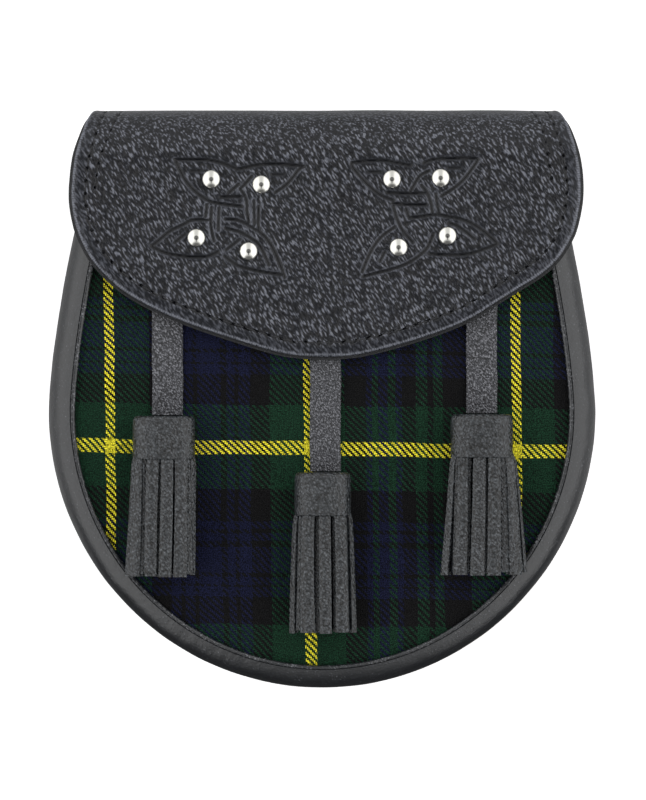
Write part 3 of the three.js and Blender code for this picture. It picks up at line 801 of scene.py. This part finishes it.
RIGHT_KNOT = (
    (1.0, ((9.6, 77.3), (14.8, 77.9), (20.1, 78.1), (24.4, 77.3), (29.0, 76.4))),
    (1.0, ((9.6, 77.3), (10.0, 75.9), (12.7, 72.5), (15.9, 69.3), (19.1, 66.8), (23.3, 65.0))),
    (0.7, ((15.0, 74.3), (19.4, 74.3))),
    (1.0, ((21.2, 67.6), (27.5, 67.3), (33.6, 67.5))),
    (1.0, ((23.0, 64.0), (28.5, 63.6), (34.3, 63.6))),
    (1.0, ((33.3, 77.3), (36.4, 78.4), (41.5, 78.7), (46.8, 78.9), (50.9, 78.6))),
    (1.0, ((50.9, 78.5), (50.7, 77.8), (48.5, 74.6), (46.1, 71.6), (42.9, 68.9), (39.0, 66.4))),
    (0.7, ((41.3, 75.6), (45.3, 75.6))),
    (1.0, ((29.0, 68.2), (30.4, 70.7), (32.2, 73.2), (35.1, 74.7))),
    (1.0, ((32.5, 69.9), (34.3, 67.6), (35.4, 64.7), (36.1, 61.1))),
    (0.8, ((37.2, 67.2), (37.6, 64.0), (38.3, 60.8))),
    (1.0, ((23.3, 63.0), (24.4, 59.4), (26.2, 55.4), (29.7, 51.2))),
    (0.8, ((27.4, 62.2), (28.5, 59.2))),
    (1.0, ((29.0, 59.4), (32.5, 59.7), (36.7, 60.4), (41.5, 59.7), (46.1, 58.7), (50.0, 56.9), (53.9, 54.0), (57.4, 50.8))),
    (1.0, ((41.5, 57.6), (45.0, 56.2), (50.0, 52.3))),
    (1.0, ((35.1, 47.6), (40.0, 47.2), (45.0, 47.2), (50.0, 48.0), (57.4, 50.8))),
    (1.0, ((23.7, 56.2), (20.1, 53.7), (17.3, 50.5), (15.1, 46.6), (13.1, 41.6))),
    (0.8, ((20.5, 48.0), (18.9, 45.1))),
    (1.0, ((13.4, 40.1), (17.6, 41.2), (23.0, 42.6), (27.2, 44.1), (30.8, 46.2), (34.3, 49.4), (36.4, 54.0))),
)


@dataclass(frozen=True)
class Flap:
    """The grained flap: sewn to the back, rolled over the top and down the front, with debossed knotwork."""

    pouch: Pouch
    leather: float = 2.0 * MM
    lining: float = 1.2 * MM
    reach_left: float = 83 * MM
    reach_right: float = 85.6 * MM
    covers: float = 82.2 * MM
    droop: float = 2 * MM
    droop_starts: float = 68 * MM
    top_z: float = 32 * MM
    seam_y: float = 74 * MM
    lining_shows: float = 1 * MM
    tail_stops_short: float = 3 * MM
    stitch_pitch: float = 4.1 * MM
    stitch_inset: float = 4.6 * MM
    knot_width: float = 0.4 * MM
    knot_depth: float = 0.5 * MM
    band_width: float = 1.4 * MM
    band_depth: float = 0.08 * MM
    # painted highlight on the flank beside each knot line, stronger the more upright the line runs
    knot_highlight_from_line: float = 0.75 * MM
    knot_highlight_width: float = 0.3 * MM
    knot_highlight: float = 0.75
    knots_low: float = 38 * MM
    knots_high: float = 81 * MM
    plain_density: float = 0.52
    front_rows: int = 182
    tail_rows: int = 20
    columns: int = 425
    under_step: int = 9

    @property
    def radius(self) -> float:
        """Radius of the roll's outer face."""
        return self.top_z / 2

    @property
    def roll_y(self) -> float:
        """Height of the roll's axis."""
        return self.pouch.top_y - self.radius

    @property
    def quarter(self) -> float:
        """Leather in a quarter of the roll."""
        return self.radius * math.pi / 2

    @property
    def front_length(self) -> float:
        """Leather from the roll's top to the tip."""
        return self.quarter + self.roll_y - (self.pouch.top_y - self.covers)

    @property
    def tail_length(self) -> float:
        """Leather from the roll's top to the seam on the back."""
        return self.quarter + self.roll_y - self.seam_y

    def edge(self, side: str, inset: float) -> tuple[Points, Points]:
        """One side of the flap's edge, as reach and run along the leather, drawn in by an inset."""
        reach = self.reach_left if side == "left" else self.reach_right
        rows = [(getattr(row, side) * reach, row.along * self.front_length) for row in FLAP_EDGE]
        path = through(rows, 24)
        slope = np.gradient(path, axis=0)
        slope /= np.linalg.norm(slope, axis=1, keepdims=True)
        reach_in = np.maximum(path[:, 0] - inset * slope[:, 1], GAP)
        return reach_in, path[:, 1] + inset * np.minimum(0, slope[:, 0])

    def point(self, x: Points, w: Points, depth: Points) -> Points:
        """A place in the flap.

        The leather is flat on the back, turns about the roll's axis and lies flat on the front, where its
        sides droop with the square of how far they reach past droop_starts.

        Args:
            x: place across.
            w: run along the leather from the roll's top, negative towards the back.
            depth: distance below the outer face.

        Returns:
            The places, one to a row.
        """
        radius = self.radius - depth
        straight = np.maximum(0, np.abs(w) - self.quarter)
        angle = np.minimum(1, np.abs(w) / self.quarter) * math.pi / 2
        y = self.roll_y - straight + radius * np.cos(angle)
        past = np.maximum(0, np.abs(x) - self.droop_starts) / (self.reach_right - self.droop_starts)
        droop = np.where(w > 0, self.droop * np.sin(angle) ** 2 * past**2, 0)
        z = self.radius + np.sign(w) * np.sin(angle) * radius - droop
        return np.stack(np.broadcast_arrays(x, y, z), axis=-1)

    def flat_grid(self, inset: float, tail: float, front_rows: int, tail_rows: int, columns: int) -> tuple[Points, Points]:
        """Places across and along the leather, in rows from the tip to the seam on the back.

        The rows stand closer where the knotwork is.
        """
        rows = []
        fine = np.linspace(0, 1, 400)
        y = self.quarter + self.roll_y - fine * self.front_length
        knots = (y > self.knots_low) & (y < self.knots_high)
        filled = np.cumsum(np.where(knots, 1.0, self.plain_density))
        filled = (filled - filled[0]) / (filled[-1] - filled[0])
        even = np.interp(np.linspace(1, 0, front_rows + 1), filled, fine)
        for side, hand in (("left", -1), ("right", 1)):
            reach, run = self.edge(side, inset)
            last = run[-1]
            rows.append((hand * np.interp(even * last, run, reach), even * last))
        tails = -np.linspace(0, tail, tail_rows + 1)[1:]
        lefts = np.concatenate([rows[0][0], np.full(tail_rows, rows[0][0][-1])])
        rights = np.concatenate([rows[1][0], np.full(tail_rows, rows[1][0][-1])])
        run_left, run_right = np.concatenate([rows[0][1], tails]), np.concatenate([rows[1][1], tails])
        share = np.linspace(0, 1, columns + 1)[None, :]
        x = mix(lefts[:, None], rights[:, None], share)
        return x, mix(run_left[:, None], run_right[:, None], share)

    def edge_path(self, inset: float, tail: float) -> Points:
        """The whole edge of a layer, from the seam on the left round the tip to the seam on the right."""
        x, w = self.flat_grid(inset, tail, 300, 30, 1)
        left = np.stack([x[:, 0], w[:, 0]], axis=1)[::-1]
        right = np.stack([x[:, 1], w[:, 1]], axis=1)
        return np.concatenate([left, right])

    def seams(self) -> list[Points]:
        """The rows of stitches: one all round the edge, and a short second one near each top corner."""
        path = self.edge_path(self.lining_shows, self.tail_length)
        slope = np.gradient(path, axis=0)
        slope /= np.linalg.norm(slope, axis=1, keepdims=True)
        around = path + self.stitch_inset * np.stack([slope[:, 1], -slope[:, 0]], axis=1)
        return [around] + [through(np.asarray(row) * MM, 12) for row in SECOND_ROWS]

    def relief(self, x: Points, w: Points) -> tuple[Points, dict[str, Points]]:
        """How far the outer face lies below its plain form: turned edge, stitches and knotwork.

        Returns:
            The depths, and the marks that the finish reads: grooves, darkened as painted shade, pressed places, and the
            turned edge, with a painted highlight along it and beside the knot lines.
        """
        flat = np.stack([x.ravel(), w.ravel()], axis=1)
        far, along = nearest(flat, self.edge_path(self.lining_shows, self.tail_length))
        low = 0.8 * MM * (1 - np.sqrt(1 - (1 - np.clip(far / (1.2 * MM), 0, 1)) ** 2))
        low += 0.12 * MM * ripple(flat[:, 0], flat[:, 1], 26 * MM, 21) * (far > 2 * MM)
        # painted shade: stitch holes and knot lines are marked to be darkened
        groove_shade = np.zeros(len(flat))
        pressed = 0.7 * (1 - smooth(3.2 * MM, 5.0 * MM, far))
        for path in self.seams():
            gap, run = nearest(flat, path)
            beat = np.abs((run / self.stitch_pitch) % 1 - 0.5) * self.stitch_pitch
            hole = np.exp(-((beat / (0.6 * MM)) ** 4)) * np.exp(-((gap / (0.4 * MM)) ** 4))
            low += 0.16 * MM * np.exp(-((gap / (0.6 * MM)) ** 2)) + 0.85 * MM * hole
            groove_shade = np.maximum(groove_shade, hole)
        y = self.quarter + self.roll_y - flat[:, 1]
        place = np.stack([flat[:, 0], y], axis=1)
        near = (y > 34 * MM) & (y < 84 * MM) & (np.abs(flat[:, 0]) < 62 * MM)
        line, band, knot_highlight = np.zeros(near.sum()), np.zeros(near.sum()), np.zeros(near.sum())
        for weight, rows in LEFT_KNOT + RIGHT_KNOT:
            gap, _ = nearest(place[near], through(np.asarray(rows) * MM, 8), 20000)
            reach = np.abs(np.subtract(rows[-1], rows[0]))
            upright = reach[1] / reach.sum()
            # painted highlight beside the line, stronger the more upright it runs
            knot_highlight = np.maximum(knot_highlight, weight * upright * np.exp(-(((gap - self.knot_highlight_from_line) / self.knot_highlight_width) ** 2)))
            line = np.maximum(line, weight * np.exp(-((gap / self.knot_width) ** 2)))
            band = np.maximum(band, np.exp(-((gap / self.band_width) ** 4)))
        low[near] += self.knot_depth * line + self.band_depth * band
        groove_shade[near] = np.maximum(groove_shade[near], line)
        pressed[near] = np.maximum(pressed[near], band)
        pressed = np.maximum(pressed, 0.8 * smooth(85 * MM, 100 * MM, y))
        # painted highlight on the rounded turned edge
        painted_highlight = np.exp(-(((far - 0.5 * MM) / (0.42 * MM)) ** 2))
        painted_highlight[near] = np.maximum(painted_highlight[near], self.knot_highlight * knot_highlight)
        return low.reshape(x.shape), {"groove_shade": groove_shade, "pressed": pressed, "edge_run": along, "painted_highlight": painted_highlight}

    def outer(self) -> None:
        """The outer leather, finely faceted on its face and plainly underneath."""
        x, w = self.flat_grid(self.lining_shows, self.tail_length, self.front_rows, self.tail_rows, self.columns)
        depth, marks = self.relief(x, w)
        form = Form()
        top = form.place(self.point(x, w, depth))
        form.grid(top)
        kept = list(range(0, x.shape[0] - 1, self.under_step)) + [x.shape[0] - 1]
        under = form.place(self.point(x[kept], w[kept], np.full(x[kept].shape, self.leather)))
        form.grid(under)
        form.grid(np.stack([top[0], under[0]]))
        form.grid(np.stack([top[-1], under[-1]]))
        for k in range(len(kept) - 1):
            for column in (0, -1):
                wall = np.concatenate([top[kept[k] : kept[k + 1] + 1, column], under[[k + 1, k], column]])
                form.cap(wall)
        form.build("flap_leather", Slot.FLAP, 55, ["flap"], marks)

    def under_layer(self) -> None:
        """The lining, whose worn edge shows just outside the outer leather."""
        over = self.leather + GAP
        x, w = self.flat_grid(0.0, self.tail_length - self.tail_stops_short, 150, 14, 40)
        form = Form()
        layers = [form.place(self.point(x, w, np.full(x.shape, depth))) for depth in (over, over + self.lining)]
        for layer in layers:
            form.grid(layer)
        loops = [np.concatenate([n[0], n[1:, -1], n[-1, -2::-1], n[-2:0:-1, 0]]) for n in layers]
        form.grid(np.stack(loops), wrap=True)
        form.build("flap_lining_leather", Slot.LINING, 55, ["flap_lining"])

    def thread(self) -> None:
        """The stitches: short lengths of thread that dip into the holes at both ends."""
        form = Form()
        angle = np.linspace(0, 2 * math.pi, 8, endpoint=False)
        shares = np.linspace(-0.5, 0.5, 9)
        thick = 0.24 * MM * np.sqrt(np.maximum(1 - (2 * np.abs(shares)) ** 6, 0.05))
        sunk = 0.26 * MM + 0.7 * MM * (2 * np.abs(shares)) ** 5
        for path in self.seams():
            run = run_along(path)
            for k in range(1, int(run[-1] // self.stitch_pitch)):
                s = k * self.stitch_pitch + shares * (self.stitch_pitch - 0.5 * MM)
                centre = np.stack([np.interp(s, run, path[:, 0]), np.interp(s, run, path[:, 1])], axis=1)
                heading = np.gradient(centre, axis=0)
                heading /= np.maximum(np.linalg.norm(heading, axis=1, keepdims=True), 1e-9)
                side = thick[:, None] * np.cos(angle)
                x = centre[:, 0, None] - heading[:, 1, None] * side
                w = centre[:, 1, None] + heading[:, 0, None] * side
                form.tube(self.point(x, w, sunk[:, None] - thick[:, None] * np.sin(angle)))
        form.build("flap_stitches", Slot.LINING, 60)

    def build(self) -> None:
        """Makes both layers and the stitches."""
        self.outer()
        self.under_layer()
        self.thread()


# Studs, straps and tassels


@dataclass(frozen=True)
class Studs:
    """Eight studs: a ball's cap on a short straight rim, polished."""

    count: int = 8
    sides: int = 48
    rings: int = 16
    rim: float = 0.9 * MM

    def build(self) -> None:
        """Makes each dome where the frame has its stud."""
        turn = np.linspace(0, 2 * math.pi, self.sides, endpoint=False)
        for k in range(1, self.count + 1):
            low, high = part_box(f"stud_{k}")
            middle, radius, height = (low + high) / 2, (high.x - low.x) / 2, high.z - low.z
            rise = height - self.rim
            ball = (radius**2 + rise**2) / (2 * rise)
            angle = math.asin(radius / ball) * np.linspace(1, 0, self.rings + 1)[:-1]
            reach = np.concatenate([[radius], ball * np.sin(angle)])
            lift = np.concatenate([[0], height - ball * (1 - np.cos(angle))])
            x = middle.x + reach[:, None] * np.cos(turn)
            y = middle.y + reach[:, None] * np.sin(turn)
            z = np.broadcast_to(low.z + lift[:, None], x.shape)
            form = Form()
            rings = form.place(np.stack([x, y, z], axis=-1))
            form.grid(rings, wrap=True)
            form.cap(rings[0])
            form.fan(rings[-1], np.array([middle.x, middle.y, high.z]))
            form.build(f"stud_dome_{k}", Slot.CHROME, 50, [f"stud_{k}"])


@dataclass(frozen=True)
class Straps:
    """Flat straps with eased edges that lie on the cloth and hold the tassels."""

    pouch: Pouch
    leather: float = 1.4 * MM
    easing: float = 0.45 * MM
    steps: int = 60

    def build(self) -> None:
        """Makes each strap inside its node's box."""
        for side in ("left", "middle", "right"):
            low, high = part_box(f"strap_{side}")
            half = (high.x - low.x) / 2
            ease, thick = self.easing, self.leather
            across = np.array([-half, -half + ease * 0.3, -half + ease, -half / 2, 0, half / 2, half - ease, half - ease * 0.3, half, half, -half])
            lift = np.array([thick - ease, thick - ease * 0.3, thick, thick, thick, thick, thick, thick - ease * 0.3, thick - ease, 0, 0])
            y = np.linspace(low.y, high.y, self.steps + 1)[:, None]
            x = (low.x + high.x) / 2 + across[None, :] + 0.12 * MM * ripple(y, 0 * y, 18 * MM, 31)
            wave = 0.08 * MM * ripple(x, y, 9 * MM, 33)
            z = self.pouch.panel_z(x, y) + GAP + lift[None, :] + wave * (lift[None, :] > 0)
            form = Form()
            form.tube(np.stack(np.broadcast_arrays(x, y, z), axis=-1))
            form.build(f"strap_{side}_leather", Slot.STRAP, 50, [f"strap_{side}"])


@dataclass(frozen=True)
class StripRow:
    """One front strip: its middle across at the top and the bottom, its width at both, in millimetres."""

    top: float
    bottom: float
    top_width: float
    bottom_width: float
    longer: float = 0.0


@dataclass(frozen=True)
class TasselRow:
    """One tassel: its side of the pouch, where its wrap overlaps, and its front strips."""

    side: str
    overlap: float
    strips: tuple[StripRow, ...]


TASSELS = (
    TasselRow("left", 3.6, (
        StripRow(-8.4, -10.1, 4.0, 5.6), StripRow(-3.3, -4.3, 4.3, 4.2), StripRow(1.2, 0.4, 4.2, 4.4, 0.3),
        StripRow(5.7, 5.3, 4.2, 4.7), StripRow(9.4, 9.0, 2.6, 2.6, -0.4),
    )),
    TasselRow("middle", 8.0, (
        StripRow(-8.4, -9.7, 1.9, 2.3), StripRow(-4.6, -4.8, 4.2, 5.1), StripRow(0.6, 1.0, 4.1, 4.2, 0.2),
        StripRow(5.3, 6.3, 3.8, 4.6, -0.2), StripRow(8.6, 10.0, 1.9, 2.3),
    )),
    TasselRow("right", 9.0, (
        StripRow(-8.9, -12.1, 2.0, 2.9), StripRow(-6.0, -7.2, 3.2, 4.8), StripRow(-0.8, -1.6, 4.2, 4.9, 0.3),
        StripRow(4.1, 3.9, 4.2, 4.8), StripRow(8.6, 10.9, 3.2, 4.8), StripRow(10.0, 14.0, 1.2, 1.5, -0.8),
    )),
)


@dataclass(frozen=True)
class Tassels:
    """Three tassels: a head wrapped in leather, with flat strips hanging out of it round a core."""

    pouch: Pouch
    head_length: float = 14.2 * MM
    skirt_length: float = 38.6 * MM
    head_thick: float = 12.4 * MM
    head_widths: tuple[float, float, float] = (20.4 * MM, 18.4 * MM, 20.4 * MM)
    head_places: tuple[float, float, float] = (-51.75 * MM, 0.18 * MM, 52.2 * MM)
    oval_power: float = 2.7
    strip_leather: float = 1.5 * MM
    inside: float = 3 * MM
    head_pressed: float = 0.3
    steps: int = 22

    def oval(self, angle: Points, half_x: float, half_z: float) -> tuple[Points, Points]:
        """A place on a round-cornered oval: cos and sin to the power 2 / oval_power."""
        c, s, power = np.cos(angle), np.sin(angle), 2 / self.oval_power
        return np.sign(c) * np.abs(c) ** power * half_x, np.sign(s) * np.abs(s) ** power * half_z

    def head(self, form: Form, x0: float, z0: float, top: float, half: float, overlap: float) -> None:
        """The wrapped head, eased at its ends, with the wrap's free edge standing up along its front."""
        angle = np.linspace(0, 2 * math.pi, 96, endpoint=False)
        down = np.array([0.0, 0.15, 0.5, 1.0, 1.7, 3.0, 5.5, 8.0, 10.5, 12.6, 13.8, 14.1, 14.2, 14.2]) * MM
        shrink = np.array([1.5, 1.0, 0.5, 0.2, 0.05, 0, 0, 0, 0, 0, 0.0, 0.15, 0.4, 1.4]) * MM
        rings = []
        for fall, less in zip(down, shrink):
            x, z = self.oval(angle, half - less, self.head_thick / 2 - less)
            step = 0.25 * MM * (np.tanh((overlap - x) / (0.12 * MM)) * 0.5 - 0.5) * (z > 0)
            z = z + step * smooth(0.0, 0.5 * MM, np.full(x.shape, self.head_thick / 2) - less)
            z = z + 0.1 * MM * ripple(x, np.full(x.shape, fall), 8 * MM, 41) * (z > 0)
            rings.append(np.stack([x0 + x, np.full(x.shape, top - fall), z0 + z], axis=-1))
        form.tube(np.stack(rings))

    def strip(self, form: Form, track: Callable[[Points], tuple[Points, Points, Points]], width: tuple[float, float], turn: tuple[float, float], thick: float) -> None:
        """One flat strip with softly rounded edges, following a track from the head to its end."""
        share = np.linspace(0, 1, self.steps + 1)
        x, y, z = track(share)
        half = mix(width[0], width[1], share) / 2
        lean = mix(turn[0], turn[1], share)
        a = np.array([-1, -0.98, -0.9, 0, 0.9, 0.98, 1, 0.98, 0.9, 0, -0.9, -0.98])
        b = np.array([0.1, 0.36, 0.47, 0.55, 0.47, 0.36, 0.1, -0.4, -0.5, -0.46, -0.5, -0.4]) * thick
        dx = half[:, None] * a * np.cos(lean)[:, None] - b * np.sin(lean)[:, None]
        dz = half[:, None] * a * np.sin(lean)[:, None] + b * np.cos(lean)[:, None]
        loops = np.stack([x[:, None] + dx, y[:, None] + 0 * dx, z[:, None] + dz], axis=-1)
        form.tube(loops)

    def one(self, row: TasselRow, x0: float, width: float, pick: np.random.Generator) -> None:
        """Makes one tassel inside its node's box."""
        low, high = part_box(f"tassel_{row.side}")
        top, half = high.y, width / 2
        z0 = float(self.pouch.panel_z(np.array(x0), np.array(top))) + GAP + self.head_thick / 2
        start, end = top - self.head_length + self.inside, low.y
        form = Form()
        self.head(form, x0, z0, top, half, row.overlap * MM)
        marks = {"pressed": np.full(form.total, self.head_pressed)}
        rest = self.head_thick / 2 - 1.45 * MM

        def hung(first: float, last: float, height: float, longer: float, sway: float) -> Callable[[Points], tuple[Points, Points, Points]]:
            def track(share: Points) -> tuple[Points, Points, Points]:
                x = x0 + mix(first, last, share**0.85) * mix(0.9, 1.0, smooth(0.0, 0.12, share))
                x = x + sway * np.sin(share * math.pi)
                y = mix(start, end - longer, share)
                sag = self.pouch.panel_z(x, y) - self.pouch.panel_z(np.array(x0), np.array(top))
                return x, y, z0 + sag + height + 0.5 * MM * np.sin(share * math.pi) ** 0.6 * np.sign(height)
            return track

        for face in (1, -1):
            for strip in row.strips:
                share = min(abs(strip.top) * MM / (half - 0.5 * MM), 1.0)
                height = face * rest * (1 - share**self.oval_power) ** (1 / self.oval_power)
                lean = -face * math.copysign(share**4 * 0.9, strip.top)
                short = max(0.15 * MM, pick.uniform(0.1, 0.6) * MM - strip.longer * MM)
                sway = pick.uniform(-0.3, 0.3) * MM
                widths = ((strip.top_width - 0.1) * MM, (strip.bottom_width - 0.1) * MM)
                inward = 0.0 if face > 0 else math.copysign(0.6 * MM, -strip.top)
                track = hung(strip.top * MM + inward, strip.bottom * MM + inward, height, -short, sway)
                self.strip(form, track, widths, (lean, lean * 0.8), self.strip_leather)
        for k in (-1, 0, 1):
            track = hung(k * 0.58 * half, k * 0.66 * half, 0.0, -1.2 * MM, 0.0)
            self.strip(form, track, (0.56 * half, 0.62 * half), (0.0, 0.0), 8.2 * MM)
        form.build(f"tassel_{row.side}_leather", Slot.TASSEL, 45, [f"tassel_{row.side}"], marks)

    def build(self) -> None:
        """Makes the three tassels."""
        pick = np.random.default_rng(7)
        for row, x0, width in zip(TASSELS, self.head_places, self.head_widths):
            self.one(row, x0, width, pick)


# Floor, light and camera


@dataclass(frozen=True)
class Studio:
    """A white floor, a white room that is dark right overhead, and a camera straight above."""

    frame_height: float = 0.2624
    camera_height: float = 2.5
    look_z: float = 0.025
    middle_x: float = 0.3 * MM
    middle_y: float = -0.3 * MM
    floor_size: float = 3.0
    walls: float = 1.5
    front: float = 0.85
    overhead: float = 0.22
    paper_glow: float = 0.6

    def floor(self) -> None:
        """The pale floor."""
        half = self.floor_size / 2
        mesh = bpy.data.meshes.new("floor")
        mesh.from_pydata([(-half, -half, 0), (half, -half, 0), (half, half, 0), (-half, half, 0)], [], [(0, 1, 2, 3)])
        paper = Shader("white_paper", "#f7f7f7", 0.9)
        seen = paper.add("ShaderNodeLightPath").outputs["Is Camera Ray"]
        _, y, _ = paper.parts(paper.place)
        # painted shade: for rays other than the camera's the floor is darker towards the bottom (-Y); the camera sees
        # it white, glowing evenly
        lit = paper.step(y, -0.09, -0.03, 0.06, 0.6)
        shade = paper.math("ADD", paper.math("MULTIPLY", seen, paper.math("SUBTRACT", 0.93, lit)), lit)
        colour = paper.add("ShaderNodeCombineColor", {0: shade, 1: shade, 2: shade}).outputs[0]
        glow = paper.math("MULTIPLY", seen, self.paper_glow)
        paper.set(paper.main, {"Base Color": colour, "Specular IOR Level": 0.0, "Emission Color": (1, 1, 1, 1)})
        paper.set(paper.main, {"Emission Strength": glow})
        mesh.materials.append(paper.material)
        plane = bpy.data.objects.new("floor", mesh)
        bpy.context.scene.collection.objects.link(plane)

    def light(self) -> None:
        """Light from all round, less from the bottom, and little from straight overhead.

        Flat leather then stays black while its grain and the rim's sides shine, and each stud shows a
        small dark spot with a tail towards the bottom.
        """
        world = bpy.data.worlds.new("room")
        bpy.context.scene.world = world
        world.use_nodes = True
        n = Nodes(world.node_tree)
        x, y, z = n.parts(n.add("ShaderNodeTexCoord").outputs["Generated"])
        aside = n.math("ABSOLUTE", x)
        glow = n.step(aside, 0.1, 0.55, self.front, self.walls)
        low = n.math("MULTIPLY", n.step(y, -0.9, -0.55, 1.0, 0.0), n.step(aside, 0.4, 0.7, 1.0, 0.0))
        glow = n.math("MULTIPLY", glow, n.math("SUBTRACT", 1.0, n.math("MULTIPLY", low, 0.8)))
        stand = n.math("MULTIPLY", n.step(aside, 0.05, 0.12, 1.0, 0.0), n.step(z, 0.68, 0.8))
        stand = n.math("MULTIPLY", stand, n.step(y, -0.1, 0.0, 0.75, 0.0))
        glow = n.math("MULTIPLY", glow, n.math("SUBTRACT", 1.0, stand))
        glow = n.math("MULTIPLY", glow, n.step(z, 0.89, 0.945, 1.0, self.overhead))
        n.set(n.tree.nodes["Background"], {"Color": (1.0, 1.0, 1.0, 1.0), "Strength": glow})

    def camera(self) -> None:
        """The camera, level with the photograph's: straight above, long lens."""
        data = bpy.data.cameras.new("camera")
        data.sensor_fit = "AUTO"
        data.sensor_width = 36
        data.lens = 36 * self.camera_height / self.frame_height
        data.clip_end = 10
        camera = bpy.data.objects.new("camera", data)
        camera.location = Vector((self.middle_x, self.middle_y, self.look_z + self.camera_height))
        bpy.context.scene.collection.objects.link(camera)
        bpy.context.scene.camera = camera

    def build(self) -> None:
        """Sets the whole studio."""
        self.floor()
        self.light()
        self.camera()
        bpy.context.scene.view_settings.view_transform = "Standard"


def main() -> None:
    """Makes the finishes and the studio, then builds every piece in order."""
    logging.basicConfig(level=logging.INFO, format="%(name)s: %(message)s")
    make_finishes()
    Studio().build()
    pouch = Pouch()
    Body(pouch).build()
    Flap(pouch).build()
    Studs().build()
    Straps(pouch).build()
    Tassels(pouch).build()


if __name__ == "__main__":
    main()
